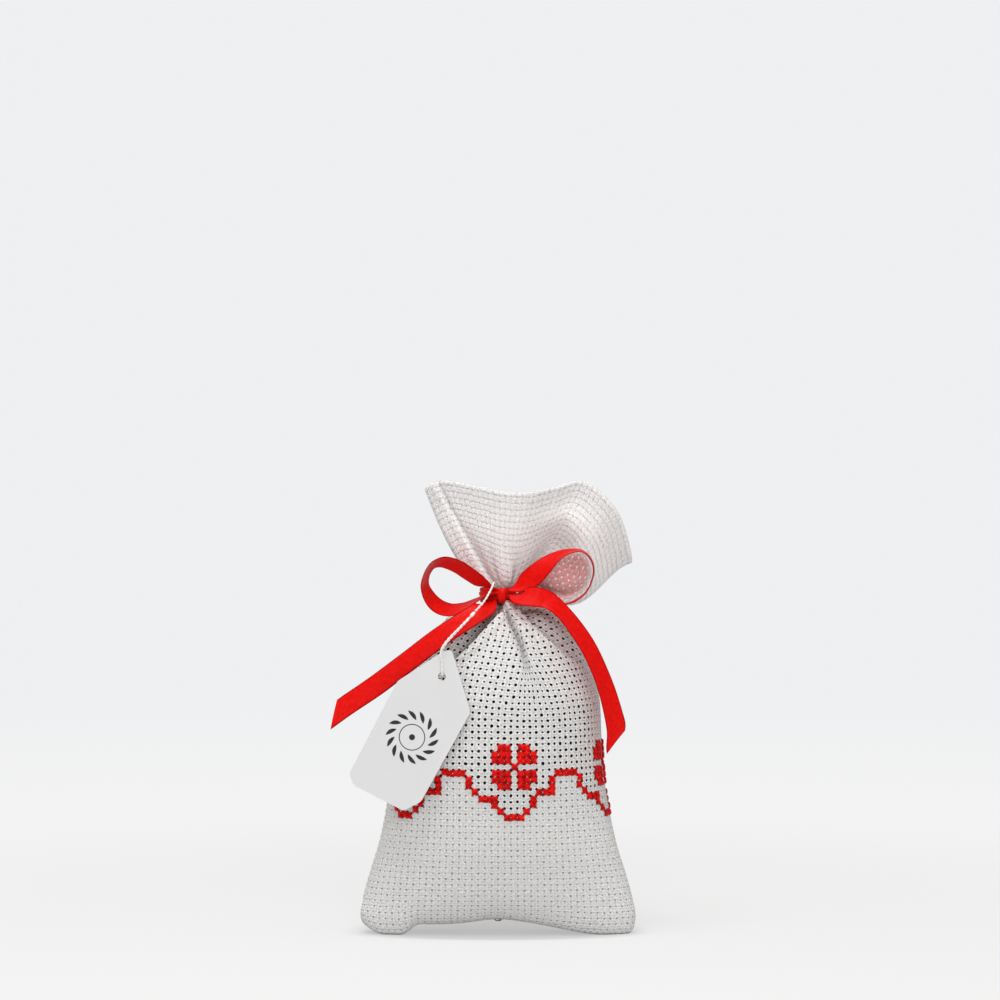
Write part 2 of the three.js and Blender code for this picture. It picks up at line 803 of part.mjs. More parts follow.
addPiece('ribbon_right_tail', ribbonStretch(rightTailRoute, false, -tailSlant), colours.ribbon, 0.4);
addPiece('tag_card', tagCard(), colours.card, 0.8);
addPiece('tag_string', tagString(), colours.string, 0.8);
addPiece('string_knot', stringKnot(), colours.string, 0.8);
addPiece('string_hanger', stringHanger(), colours.string, 0.8);

export default sachet;
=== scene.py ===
import math

import bpy
import numpy as np
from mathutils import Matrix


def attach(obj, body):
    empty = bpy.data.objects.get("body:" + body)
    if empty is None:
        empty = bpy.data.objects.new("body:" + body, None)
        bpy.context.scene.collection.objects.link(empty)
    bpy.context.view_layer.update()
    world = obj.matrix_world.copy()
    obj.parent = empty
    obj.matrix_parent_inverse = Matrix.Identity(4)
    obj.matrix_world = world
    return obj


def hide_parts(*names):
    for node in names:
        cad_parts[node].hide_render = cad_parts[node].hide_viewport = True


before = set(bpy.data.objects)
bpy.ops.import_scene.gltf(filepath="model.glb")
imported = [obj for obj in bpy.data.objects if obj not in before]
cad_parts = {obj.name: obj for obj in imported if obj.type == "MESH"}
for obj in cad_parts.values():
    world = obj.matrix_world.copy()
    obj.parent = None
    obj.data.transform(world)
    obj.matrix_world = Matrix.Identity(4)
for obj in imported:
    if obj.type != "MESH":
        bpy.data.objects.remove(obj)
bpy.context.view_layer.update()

mm = 0.001
squarePitch = 25.4 / 14 * mm   # one square of 14-count cross-stitch cloth
squaresAround = 90
print("frame loaded")


# General helpers

def smoothRow(x, knots, values):
    # cubic through the knots; its slope at a knot is the harmonic mean of the slopes on both sides,
    # and flat where they turn
    knots, values = np.asarray(knots, float), np.asarray(values, float)
    step = np.diff(knots)
    rise = np.diff(values, axis=0) / step.reshape(-1, *[1] * (values.ndim - 1))
    before, after = rise[:-1], rise[1:]
    inner = np.where(before * after > 0, 2 * after * before / (after + before + 1e-30), 0)
    slope = np.concatenate([rise[:1], inner, rise[-1:]])
    x = np.clip(x, knots[0], knots[-1])
    i = np.clip(np.searchsorted(knots, x, side="right") - 1, 0, len(step) - 1)
    h = step[i]
    t = (x - knots[i]) / h
    if values.ndim > 1:
        h, t = h[..., None], t[..., None]
    return ((1 + 2 * t) * (1 - t) ** 2 * values[i] + t * (1 - t) ** 2 * h * slope[i]
            + t * t * (3 - 2 * t) * values[i + 1] + t * t * (t - 1) * h * slope[i + 1])


def softPath(points, count, closed=False):
    # Catmull-Rom curve through the points, sampled evenly along its own length
    p = np.asarray(points, float)
    if closed:
        p = np.vstack([p[-1], p, p[:2]])
    else:
        p = np.vstack([2 * p[0] - p[1], p, 2 * p[-1] - p[-2]])
    spans = len(p) - 3
    t = np.linspace(0, spans, 40 * spans + 1)
    i = np.minimum(t.astype(int), spans - 1)
    f = (t - i)[:, None]
    a, b, c, d = p[i], p[i + 1], p[i + 2], p[i + 3]
    curve = 0.5 * (2 * b + (c - a) * f + (2 * a - 5 * b + 4 * c - d) * f ** 2
                   + (3 * b - a - 3 * c + d) * f ** 3)
    run = np.concatenate([[0], np.cumsum(np.linalg.norm(np.diff(curve[:, :3], axis=0), axis=1))])
    even = np.linspace(0, run[-1], count)
    return np.stack([np.interp(even, run, curve[:, k]) for k in range(curve.shape[1])], axis=1), run[-1]


def unit(v):
    # vectors brought to length 1
    return v / np.maximum(np.linalg.norm(v, axis=-1, keepdims=True), 1e-12)


def smoothstep(x, low, high):
    # 0 up to low, 1 from high on, and a soft S between them
    t = np.clip((x - low) / (high - low), 0, 1)
    return t * t * (3 - 2 * t)


def gridFaces(rows, cols, wrapRows=False, wrapCols=False, offset=0):
    # quads between the neighbours of a grid of points
    r = np.arange(rows if wrapRows else rows - 1)
    c = np.arange(cols if wrapCols else cols - 1)
    r, c = np.meshgrid(r, c, indexing="ij")
    r2, c2 = (r + 1) % rows, (c + 1) % cols
    quads = np.stack([r * cols + c, r * cols + c2, r2 * cols + c2, r2 * cols + c], axis=-1)
    return quads.reshape(-1, 4) + offset


def meshObject(name, points, faces, uv=None, smooth=True, attributes=None):
    # points and quads as arrays; uv and other attributes are given per point
    points = np.asarray(points, float).reshape(-1, 3)
    mesh = bpy.data.meshes.new(name)
    mesh.from_pydata(points.tolist(), [], [list(map(int, f)) for f in faces])
    corners = np.empty(len(mesh.loops), np.int32)
    mesh.loops.foreach_get("vertex_index", corners)
    if uv is not None:
        layer = mesh.uv_layers.new(name="UVMap")
        layer.data.foreach_set("uv", np.asarray(uv, np.float32).reshape(-1, 2)[corners].ravel())
    for key, values in (attributes or {}).items():
        layer = mesh.attributes.new(key, "FLOAT", "POINT")
        layer.data.foreach_set("value", np.asarray(values, np.float32).ravel())
    mesh.polygons.foreach_set("use_smooth", np.full(len(mesh.polygons), smooth))
    mesh.update()
    piece = bpy.data.objects.new(name, mesh)
    bpy.context.scene.collection.objects.link(piece)
    return piece


def capFaces(ring):
    # closes a ring of point numbers with a strip of quads and an end triangle
    ring = list(ring)
    faces = []
    low, high = 0, len(ring) - 1
    while high - low > 2:
        faces.append([ring[low], ring[low + 1], ring[high - 1], ring[high]])
        low, high = low + 1, high - 1
    if high - low == 2:
        faces.append([ring[low], ring[low + 1], ring[high]])
    return faces


def tubeFaces(rows, columns, offset=0):
    # rings of points joined into a tube, with both its ends closed
    faces = gridFaces(rows, columns, wrapCols=True, offset=offset).tolist()
    faces += [face[::-1] for face in capFaces(range(offset, offset + columns))]
    return faces + capFaces(range(offset + (rows - 1) * columns, offset + rows * columns))


def ballGrid(rows, columns):
    # angle down from the pole, angle round it, and the unit ball as rings from pole to pole
    down = np.linspace(0, math.pi, rows)[:, None]
    turn = np.linspace(0, 2 * math.pi, columns, endpoint=False)[None, :]
    sides = [np.sin(down) * np.cos(turn), np.sin(down) * np.sin(turn), np.cos(down) + 0 * turn]
    return down, turn, np.stack(sides, axis=-1)


def ballFaces(rows, columns):
    # faces of a grid of rings whose first and last ring are each one point: the pole and its fan
    faces = gridFaces(rows - 2, columns, wrapCols=True).tolist()
    first, last = (rows - 2) * columns, (rows - 2) * columns + 1
    foot = (rows - 3) * columns
    faces += [[first, (k + 1) % columns, k] for k in range(columns)]
    faces += [[last, foot + k, foot + (k + 1) % columns] for k in range(columns)]
    return [face[::-1] for face in faces]


def ballPoints(grid):
    # the rings between the poles, then the two poles
    columns = grid.shape[-1]
    return np.concatenate([grid[1:-1].reshape(-1, columns), grid[:1, 0], grid[-1:, 0]])


def dress(piece, material, body, slot, *nodes):
    # material of a piece, the body it moves with, its slot, which is not used, and the CAD nodes it stands
    # for
    piece.data.materials.clear()
    piece.data.materials.append(material)
    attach(piece, body)
    if nodes:
        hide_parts(*nodes)
    return piece


# Shader helpers

class Value:
    # an output of a node, which can be added, subtracted and multiplied like a number
    def __init__(self, nodes, socket):
        self.nodes = nodes
        self.socket = socket

    def __add__(self, other):
        return self.nodes.math("ADD", self, other)

    def __sub__(self, other):
        return self.nodes.math("SUBTRACT", self, other)

    def __rsub__(self, other):
        return self.nodes.math("SUBTRACT", other, self)

    def __mul__(self, other):
        return self.nodes.math("MULTIPLY", self, other)

    __radd__ = __add__
    __rmul__ = __mul__


class Nodes:
    # a node tree with short calls: add makes a node and sets or links its inputs
    def __init__(self, tree):
        self.tree = tree

    def add(self, kind, inputs=None, **settings):
        node = self.tree.nodes.new(kind)
        for key, setting in settings.items():
            setattr(node, key, setting)
        for key, given in (inputs or {}).items():
            if isinstance(given, Value):
                self.tree.links.new(given.socket, node.inputs[key])
            else:
                node.inputs[key].default_value = given
        return node

    def value(self, kind, inputs=None, out=0, **settings):
        return Value(self, self.add(kind, inputs, **settings).outputs[out])

    def outputs(self, kind, inputs=None, **settings):
        return {socket.name: Value(self, socket) for socket in self.add(kind, inputs, **settings).outputs}

    def math(self, operation, a, b=0.0):
        return self.value("ShaderNodeMath", {0: a, 1: b}, operation=operation)

    def vector(self, operation, *inputs, out="Vector"):
        return self.value("ShaderNodeVectorMath", dict(enumerate(inputs)), out, operation=operation)

    def mix(self, factor, a, b):
        a, b = (color if isinstance(color, Value) else (*color, 1) for color in (a, b))
        return self.value("ShaderNodeMix", {0: factor, 6: a, 7: b}, 2, data_type="RGBA")

    def step(self, value, low, high):
        return self.value("ShaderNodeMapRange", {0: value, 1: low, 2: high}, interpolation_type="SMOOTHSTEP")

    def noise(self, vector, scale, detail=2.0, roughness=0.5):
        return self.value("ShaderNodeTexNoise", {"Vector": vector, "Scale": scale, "Detail": detail,
                                                 "Roughness": roughness})

    def split(self, vector):
        return list(self.outputs("ShaderNodeSeparateXYZ", {0: vector}).values())

    def uv(self):
        return self.value("ShaderNodeUVMap", uv_map="UVMap")

    def place(self):
        return self.value("ShaderNodeTexCoord", out="Object")

    def attribute(self, name):
        return self.value("ShaderNodeAttribute", out="Fac", attribute_name=name)


def newMaterial(name):
    material = bpy.data.materials.new(name)
    material.use_nodes = True
    material.node_tree.nodes.clear()
    return material, Nodes(material.node_tree)


def newGroup(name, inputs, outputs):
    tree = bpy.data.node_groups.new(name, "ShaderNodeTree")
    for label, kind in inputs:
        tree.interface.new_socket(label, in_out="INPUT", socket_type="NodeSocket" + kind)
    for label, kind in outputs:
        tree.interface.new_socket(label, in_out="OUTPUT", socket_type="NodeSocket" + kind)
    return tree, Nodes(tree)


def finishMaterial(nodes, color, roughness, height, strength, distance, specular=0.5, anisotropic=0.0):
    # Principled surface with a bump; constants go on the shader's own sockets
    normal = nodes.value("ShaderNodeBump", {"Height": height, "Strength": strength, "Distance": distance})
    inputs = {"Base Color": color, "Roughness": roughness, "Normal": normal,
              "Specular IOR Level": specular, "Anisotropic": anisotropic}
    nodes.add("ShaderNodeOutputMaterial", {"Surface": nodes.value("ShaderNodeBsdfPrincipled", inputs)})


# Camera, as the photograph was taken: level with the mouth of the bag

view = {"place": (0.57 * mm, -880 * mm, 123.6 * mm), "frameWidth": 1000 / 3.5 * mm}
camera = bpy.data.objects.new("camera", bpy.data.cameras.new("camera"))
camera.location = view["place"]
camera.rotation_euler = (math.radians(90), 0, 0)
camera.data.sensor_width = 36
camera.data.lens = 36 * -view["place"][1] / view["frameWidth"]
camera.data.clip_start = 0.01
bpy.context.scene.collection.objects.link(camera)
bpy.context.scene.camera = camera
print("camera set")


# Ribbon: satin bands that leave the knot, as routes from the middle of the knot

knot = np.array([1.2, -7.1, 96.5])
ribbon = {
    "width": 6.0, "thickness": 0.3, "gatheredWidth": 3.0, "gatherLength": 6.4, "slant": 3.1,
    "curl": 0.25,            # edges turn this far out of the band's plane
    "ripple": (0.12, 4.1),   # height and pace of the soft waves along a free band
    "creaseDepth": 0.16,     # folds where the knot squeezes the band
    "steps": 150, "pointsAcross": 17,
    "warpThreads": 26, "weftThreads": 5.5,   # over the width, and along each mm
    "deepRed": (0.56, 0.0012, 0.0006), "brightRed": (0.68, 0.0035, 0.0012), "edgeRed": (0.4, 0.001, 0.0006),
    "leftLoop": [(-1.85, 0.1, 1.7, 0), (-4.2, -0.7, 2.9, 24), (-6.4, -1.3, 4.1, 38), (-9.7, -1.7, 6.5, 42),
                 (-12.5, -1.8, 8.4, 42), (-15.9, -1.8, 9.6, 38), (-18.4, -1.8, 9.4, 28),
                 (-20.3, -1.7, 8.2, 20), (-21.7, -1.6, 5.6, 18), (-22, -1.6, 2.4, 24),
                 (-20.2, -1.6, -1.2, 36), (-17.6, -1.6, -3.4, 40), (-14.4, -1.4, -4.1, 36),
                 (-11, -0.9, -3.1, 22), (-8, -0.4, -1.6, 12), (-4.9, 0, 0, 4), (-1.85, 0.1, 0.7, 0)],
    "rightLoop": [(1.95, 0.1, 1.7, 0), (4.6, -0.9, 2.7, 50), (8.3, -1.9, 5.1, 70), (11.4, -2.5, 7.8, 58),
                  (14.6, -2.9, 10.3, 36), (17.7, -3.2, 12, 20), (21.6, -3.2, 12.7, 8), (24.1, -3.2, 11.4, 4),
                  (25.6, -3, 8.6, 2), (25.5, -2.6, 5.2, 0), (23.8, -2.2, 1.4, 0), (20.7, -1.8, -1.2, 0),
                  (17.2, -1.5, -2.2, 0), (12, -0.5, -1.6, -30), (7, 1.2, -0.4, -50), (1.95, 0.3, -0.9, 0)],
    "leftTail": [(-1.85, -0.4, -1.4, 0), (-3, -1.2, -1.9, -24), (-4.9, -6, -3.3, -56), (-7.8, -8.6, -5, -66),
                 (-14, -9.6, -8.9, -68), (-19.7, -9.4, -12.9, -72), (-27.2, -8.8, -18.7, -75),
                 (-35.4, -8, -24.9, -75), (-42.9, -7.4, -30, -75), (-47.4, -7.2, -33.2, -75)],
    "rightTail": [(2.25, -0.5, 0.1, 0), (3.7, -2.2, 0.1, 6), (5.5, -6.5, -0.1, 48), (9.4, -8, -0.2, 68),
                  (12.4, -7.6, -0.9, 60), (15.7, -7.8, -3.3, 48), (19.3, -7.4, -7.4, 48),
                  (23.3, -6.6, -13.1, 48), (26.4, -5.8, -19.1, 50), (29.5, -4.8, -27.1, 58),
                  (31.7, -4, -35.7, 64), (32, -3.8, -41.2, 66)],
}


def ribbonMaterial():
    material, nodes = newMaterial("red_satin")
    uv = nodes.uv()
    across, along, _ = nodes.split(uv)
    # fine lengthwise threads, cloudy sheen and a firmer woven edge
    warp = nodes.math("SINE", across * (2 * math.pi * ribbon["warpThreads"]))
    weft = nodes.math("SINE", along * (2 * math.pi * ribbon["weftThreads"]))
    flat = nodes.vector("MULTIPLY", uv, (ribbon["width"], 1, 1))
    cloud = nodes.step(nodes.noise(flat, 0.8, 4.0, 0.6), 0.3, 0.7)
    edge = nodes.step(nodes.math("ABSOLUTE", across - 0.5), 0.41, 0.475)
    tone = nodes.mix(cloud, ribbon["deepRed"], ribbon["brightRed"])
    tone = nodes.mix(edge, tone, ribbon["edgeRed"])
    height = warp * 0.5 + weft * 0.3 + edge * 2.0
    finishMaterial(nodes, tone, 0.3 + cloud * 0.14, height, strength=0.25, distance=0.00004,
                   specular=0.1, anisotropic=0.4)
    return material


def ribbonBand(name, route, bothEnds, slant):
    # a thin closed section carried along the route: its width turns from edge-on (0) to face-on (90)
    line, length = softPath(np.array(route, float) + [*knot, 0], ribbon["steps"])
    centre, face = line[:, :3], np.radians(line[:, 3])[:, None]
    onward = unit(np.gradient(centre, axis=0))
    depth = np.array([0.0, 1, 0])
    across = unit(np.cross(onward, depth))
    side = unit(depth - (onward @ depth)[:, None] * onward)
    side = unit(side * np.cos(face) + across * np.sin(face))
    raised = np.cross(onward, side)
    run = np.linspace(0, length, len(line))[:, None]
    fromKnot = np.minimum(run, length - run) if bothEnds else run
    spread = smoothstep(fromKnot, 0, ribbon["gatherLength"])
    width = ribbon["gatheredWidth"] + (ribbon["width"] - ribbon["gatheredWidth"]) * spread
    top = np.linspace(-1, 1, ribbon["pointsAcross"])
    profile = np.concatenate([top, top[::-1]])   # over the top and back underneath
    rim = np.sqrt(np.clip(1 - np.abs(profile) ** 8, 0, 1))
    lift = np.repeat([0.5, -0.5], len(top)) * rim * ribbon["thickness"]
    crease = np.cos(3.2 * math.pi * profile) * ribbon["creaseDepth"] * (1 - spread) ** 1.5
    free = smoothstep(fromKnot, 4, 14)
    curl = ribbon["curl"] * profile ** 2 * free
    waves, pace = ribbon["ripple"]
    ripple = waves * np.sin(run / pace) * profile * free
    high = lift + crease + curl + ripple
    cut = slant * smoothstep(run / length, 0.8, 1) * profile
    points = (centre[:, None, :] + side[:, None, :] * (profile * width / 2)[..., None]
              + raised[:, None, :] * high[..., None] + onward[:, None, :] * cut[..., None])
    uv = np.stack(np.broadcast_arrays(profile * 0.5 + 0.5, run), axis=-1)
    return meshObject(name, points * mm, tubeFaces(*points.shape[:2]), uv), centre * mm, length * mm


satin = ribbonMaterial()
bands = [("ribbonLeftLoop", "leftLoop", True, 0, "left_loop", "ribbon_left_loop"),
         ("ribbonRightLoop", "rightLoop", True, 0, "right_loop", "ribbon_right_loop"),
         ("ribbonLeftTail", "leftTail", False, -ribbon["slant"], "left_tail", "ribbon_left_tail"),
         ("ribbonRightTail", "rightTail", False, -ribbon["slant"], "right_tail", "ribbon_right_tail")]
for name, key, bothEnds, slant, mover, node in bands:
    band, path, length = ribbonBand(name, ribbon[key], bothEnds, slant)
    dress(band, satin, mover, "ribbon", node)
print("ribbon loops and tails made")


# String of the tag: two plies twisted round each other

tagHole = np.array([-15.6, -21.1, 74.4])
tagLean, tagTilt = math.radians(28.5), math.radians(8)
levelRight = np.array([math.cos(tagTilt), -math.sin(tagTilt), 0])
cardRight = levelRight * math.cos(tagLean) - np.array([0, 0, math.sin(tagLean)])
cardUp = levelRight * math.sin(tagLean) + np.array([0, 0, math.cos(tagLean)])
cardFront = np.cross(cardRight, cardUp)
string = {
    "diameter": 0.7, "hangerDiameter": 0.64, "twist": 2.6, "plyShare": 0.29, "steps": 220, "sides": 8,
    "knotRadius": 0.5, "knotLength": 1.15, "knotPlace": knot + [-8.3, -11.8, -4.9],
    "hanger": [(-7.5, -11.2, -4), (-5, -9.2, -1.2), (-3.2, -6, 1.8), (-2.3, -2.4, 3.6), (-2.1, 0.4, 3.2)],
    "bend": [(-3.6, 7.6), (-1.6, 3.2), (-0.4, 0.9)],   # over the card's corner and through its hole
    "cardHalf": 0.2, "clearance": 0.45, "legsApart": 0.62,
    "dull": (0.72, 0.69, 0.66), "pale": (0.9, 0.88, 0.86),
}


def onTag(right, up, front):
    # a place in mm from the tag's hole, along the card's own sides
    return tagHole + cardRight * right + cardUp * up + cardFront * front


def twistedString(name, points, diameter):
    # two plies, each a round section on a helix round the path
    steps, sides = string["steps"], string["sides"]
    line, length = softPath(points, steps)
    onward = unit(np.gradient(line, axis=0))
    first = unit(np.cross(onward, [0.31, 0.2, 0.93]))
    second = np.cross(onward, first)
    turn = np.linspace(0, 2 * math.pi * length / string["twist"], steps)[:, None]
    around = np.linspace(0, 2 * math.pi, sides, endpoint=False)
    plyRadius = diameter * string["plyShare"]
    ring = first[:, None, :] * np.cos(around)[:, None] + second[:, None, :] * np.sin(around)[:, None]
    plies, faces = [], []
    for ply in range(2):
        angle = turn + ply * math.pi
        middle = line + (first * np.cos(angle) + second * np.sin(angle)) * (diameter / 2 - plyRadius)
        plies.append((middle[:, None, :] + ring * plyRadius).reshape(-1, 3))
        faces += tubeFaces(steps, sides, ply * steps * sides)
    along = np.linspace(0, length, steps)[:, None]
    uv = np.stack(np.broadcast_arrays(around / (2 * math.pi), along), axis=-1).reshape(-1, 2)
    return meshObject(name, np.vstack(plies) * mm, faces, np.tile(uv, (2, 1))), line * mm, length * mm


def stringMaterial(name, dull, pale):
    material, nodes = newMaterial(name)
    uv = nodes.uv()
    around, along, _ = nodes.split(uv)
    # fibres wind round each ply, with a little fuzz
    fibre = nodes.math("SINE", (around * 2 + along * 4) * (2 * math.pi))
    fuzz = nodes.noise(uv, 9.0, 3.0)
    tone = nodes.mix(fuzz, dull, pale)
    finishMaterial(nodes, tone, 0.7 + fuzz * 0.2, fibre, strength=0.5, distance=0.00006)
    return material


cotton = stringMaterial("white_string", string["dull"], string["pale"])
offFace = string["cardHalf"] + string["clearance"] + string["diameter"] / 2
towards = unit(onTag(*string["bend"][0], 0) - string["knotPlace"])
start = string["knotPlace"] + towards * string["knotLength"]
apart = cardFront * string["legsApart"]


def stringLeg(side):
    # from above the card's corner down to its hole, in front of the card (1) or behind it (-1)
    lifts = (offFace + 0.3, offFace, offFace * 0.8)
    return [onTag(right, up, side * lift) for (right, up), lift in zip(string["bend"], lifts)]


stringRoute = [start + apart, *stringLeg(1), onTag(0, 0.3, 0), *stringLeg(-1)[::-1], start - apart]
tagString, path, length = twistedString("tagString", stringRoute, string["diameter"])
dress(tagString, cotton, "string", "string", "tag_string")
hangerRoute = np.array(string["hanger"]) + knot
hanger = twistedString("stringHanger", hangerRoute, string["hangerDiameter"])[0]
dress(hanger, cotton, "bag", "string", "string_hanger")
print("string made")


# Cloth of the bag: one tube of cloth from the bottom seam over the gathered neck to the rim of the mouth

bag = {
    # height, half width, half depth and squareness of each section, in mm
    "sections": [
        (0.7, 36.2, 0.5, 2.6), (0, 37.6, 5.6, 2.6), (1.6, 38.8, 7.4, 2.6), (5, 39.3, 8.8, 2.5),
        (10, 38.4, 10.6, 2.3), (17, 36.5, 13.2, 2.2), (25, 34, 16.4, 2.1), (34, 32, 19, 2), (44, 30.4, 21, 2),
        (55, 29.6, 22, 2), (65, 29.2, 22, 2), (73, 27.6, 21, 2), (80, 25, 19, 2), (86, 21.6, 16.3, 2),
        (90, 18.2, 13.7, 2), (92.8, 15, 11.3, 2), (94.4, 10.8, 8.5, 2), (95.2, 6.8, 6, 2),
        (95.8, 4.6, 4.6, 2), (96.5, 4.4, 4.4, 2)],
    "belly": (29.6, 22), "neckRadius": 4.4, "columns": 264, "thickness": 0.7,
    "rowSteps": [(0, 1.0), (20, 1.45), (66, 1.45), (70, 0.55)],   # row spacing along the cloth
    # the left corner rounds up from the floor, and the bottom arches between the feet
    "footLift": 2.4, "footCorner": (32.5, 39.5), "footReach": 9,
    "archHeight": 3.1, "archCrest": (1.5, 9), "archReach": 14,
    "archLeft": (-27.9, -22), "archRight": (7.9, 31),
    "flowerHeight": 49.1, "evenBelow": (40, 54), "shoulder": (58, 68),
    # line of the vine as (squares from a flower, rows below it): the bag is hollow behind the cloth above it
    "firstFlower": 7, "flowerEvery": 18,
    "vineLine": [(-9, 1), (-8, 1), (-7, 2.5), (-5, 5), (-3, 5.5), (-1, 8), (1, 8), (3, 5.5), (5, 4), (6, 3),
                 (7, 1), (9, 1)],
    # rows of the weave hang lower in front: depth at each height, and reach to the left and right
    "rowDip": [(56, 0), (66, 1.3), (73, 1.8), (85, 2.3)], "dipReach": (13, 22),
    # creases of the shoulder: (height, turn) up each one, depth, reach to its left and right, and the
    # heights between which it comes in
    "creases": [
        {"line": [(62, 0.0), (94.6, 0.0)], "deep": 5.4, "left": 6.5, "right": 5.5, "show": (74, 87)},
        {"line": [(62, 0.065), (94.6, 0.09)], "deep": 3.0, "left": 1.6, "right": 3.0, "show": (68, 86)},
        {"line": [(62, 0.14), (77.6, 0.155), (79.6, 0.173), (81.6, 0.189), (84.6, 0.205), (88.2, 0.224),
                  (90.9, 0.242), (92.8, 0.262), (94.6, 0.262)],
         "deep": 7.6, "left": 4.2, "right": 0.7, "show": (75, 83)},
        {"line": [(62, 0.3), (76.6, 0.304), (83.2, 0.301), (88.4, 0.291), (92, 0.283), (94.6, 0.285)],
         "deep": 3.0, "left": 1.5, "right": 0.5, "show": (69, 84)},
        {"line": [(62, 0.47), (76.7, 0.455), (78.7, 0.413), (81.4, 0.378), (85, 0.353), (89.8, 0.33),
                  (93, 0.316), (94.6, 0.316)],
         "deep": 6.0, "left": 0.7, "right": 4.4, "show": (75, 84)},
        {"line": [(62, 0.54), (80, 0.5), (88, 0.45), (94.6, 0.4)],
         "deep": 2.6, "left": 1.4, "right": 2.6, "show": (72, 88)},
        {"line": [(62, 0.595), (86, 0.57), (94.6, 0.52)],
         "deep": 3.4, "left": 2.4, "right": 1.2, "show": (68, 86)},
        {"line": [(62, 0.655), (94.6, 0.62)], "deep": 2.6, "left": 1.2, "right": 2.2, "show": (74, 88)},
        {"line": [(62, 0.715), (94.6, 0.7)], "deep": 3.8, "left": 3.2, "right": 1.0, "show": (66, 86)},
        {"line": [(62, 0.785), (94.6, 0.79)], "deep": 3.0, "left": 1.0, "right": 2.8, "show": (70, 88)},
        {"line": [(62, 0.845), (94.6, 0.86)], "deep": 3.6, "left": 2.4, "right": 1.0, "show": (67, 86)},
        {"line": [(62, 0.915), (94.6, 0.93)], "deep": 2.8, "left": 1.2, "right": 2.6, "show": (72, 88)}],
    # the short side of a crease: where it rolls up and leans over, as (amount, place, width)
    "roll": (0.22, 0.9, 1.3), "lean": (0.16, 0.2, 1.1), "rollStart": 1.4,
    "sinkLimits": (-0.05, 0.34), "leanLimit": 0.06,   # as shares of the cloth's radius
    "puff": {"every": 4, "pressure": 4.0, "frames": 14, "cap": 0.6, "low": (4, 14), "high": (72, 84)},
    # frill: rim of the mouth from the middle of its foot, and pleats as (rise, turn)
    "frillFoot": 98.8, "frillRows": 42, "frillSquares": 20, "rimShift": 0.035, "neckTwist": 0.2,
    "flare": (0.72, 0.13), "lift": 1.1, "hem": 5.5, "hemThickness": 1.0,
    "tuck": (0.2, 0.07, 0.07),   # the front left runs straighter: amount, place and reach
    "sag": (8.5, 0.5, 0.12),     # the right end droops: depth, place and reach
    "rim": [(-20.9, 0, 27.5), (-15.9, -4, 29.8), (-7.4, -8, 28.5), (0.6, -10, 26.8), (8.5, -9.5, 26.4),
            (16.5, -6, 28), (25, -3.5, 29.4), (34, -4, 20.5), (38, 0, 6.8), (34, 5, 15), (26.5, 8, 24),
            (18, 9.5, 26), (9.5, 10, 25.2), (1.5, 9.5, 25.4), (-6.5, 7.5, 26.5), (-14.5, 4, 27.8)],
    # dent on the front right, with a low ridge above it: place, depth, reach to each side
    "dent": {"turn": 0.345, "rise": 0.47, "deep": 3.3, "wide": (0.05, 0.06), "tall": (0.26, 0.12)},
    "ridge": {"above": 0.24, "high": 1.6, "wide": 0.08, "tall": 0.1},
    "pleats": [
        {"line": [(0, 0.035), (0.5, 0.022), (1, 0)],
         "deep": 1.1, "left": 0.5, "right": 0.5, "show": (-1, 0)},
        {"line": [(0, 0.05), (0.5, 0.034), (1, 0.008)],
         "deep": 1.2, "left": 1.0, "right": 1.6, "show": (0.8, 0.3)},
        {"line": [(0, 0.1), (1, 0.085)], "deep": 0.5, "left": 0.7, "right": 1.6, "show": (0.7, 0.1)},
        {"line": [(0, 0.19), (1, 0.17)], "deep": 0.4, "left": 0.8, "right": 0.8, "show": (0.6, 0.1)},
        {"line": [(0, 0.26), (1, 0.25)], "deep": 0.4, "left": 1.4, "right": 0.7, "show": (0.65, 0.1)},
        {"line": [(0, 0.33), (1, 0.33)], "deep": 0.7, "left": 0.9, "right": 1.6, "show": (0.9, 0.2)},
        {"line": [(0, 0.42), (1, 0.43)], "deep": 1.5, "left": 1.2, "right": 0.8, "show": (0.8, 0.2)},
        {"line": [(0, 0.52), (1, 0.52)], "deep": 1.3, "left": 1.0, "right": 1.0, "show": (0.7, 0.1)},
        {"line": [(0, 0.61), (1, 0.62)], "deep": 1.6, "left": 1.6, "right": 0.8, "show": (0.9, 0.1)},
        {"line": [(0, 0.7), (1, 0.69)], "deep": 1.3, "left": 0.8, "right": 1.2, "show": (0.7, 0.1)},
        {"line": [(0, 0.78), (1, 0.79)], "deep": 1.6, "left": 1.2, "right": 0.8, "show": (0.85, 0.1)},
        {"line": [(0, 0.87), (1, 0.88)], "deep": 0.9, "left": 0.8, "right": 1.4, "show": (0.7, 0.1)},
        {"line": [(0, 0.94), (1, 0.95)], "deep": 0.7, "left": 1.2, "right": 0.8, "show": (0.8, 0.1)}],
}
clothPitch = squarePitch / mm


def archSpan(x):
    # 1 between the feet and 0 under them, with soft ends
    return smoothstep(x, *bag["archLeft"]) * (1 - smoothstep(x, *bag["archRight"]))


def archRise(x, height):
    # the bottom rises between the feet, most in the middle, and less with the height
    crest, reach = bag["archCrest"]
    top = bag["archHeight"] + crest * np.exp(-(x / reach) ** 2)
    return top * archSpan(x) * np.clip(1 - height / bag["archReach"], 0, 1) ** 2


def turnOfSquare(square):
    # squares lie evenly along the belly's oval, so their turn follows its arc length
    angle = np.linspace(0, 2 * math.pi, 1441)
    wide, deep = bag["belly"]
    oval = np.stack([wide * np.cos(angle), deep * np.sin(angle)], axis=1)
    run = np.concatenate([[0], np.cumsum(np.linalg.norm(np.diff(oval, axis=0), axis=1))])
    return np.interp(square / squaresAround * run[-1], run, angle) / (2 * math.pi)


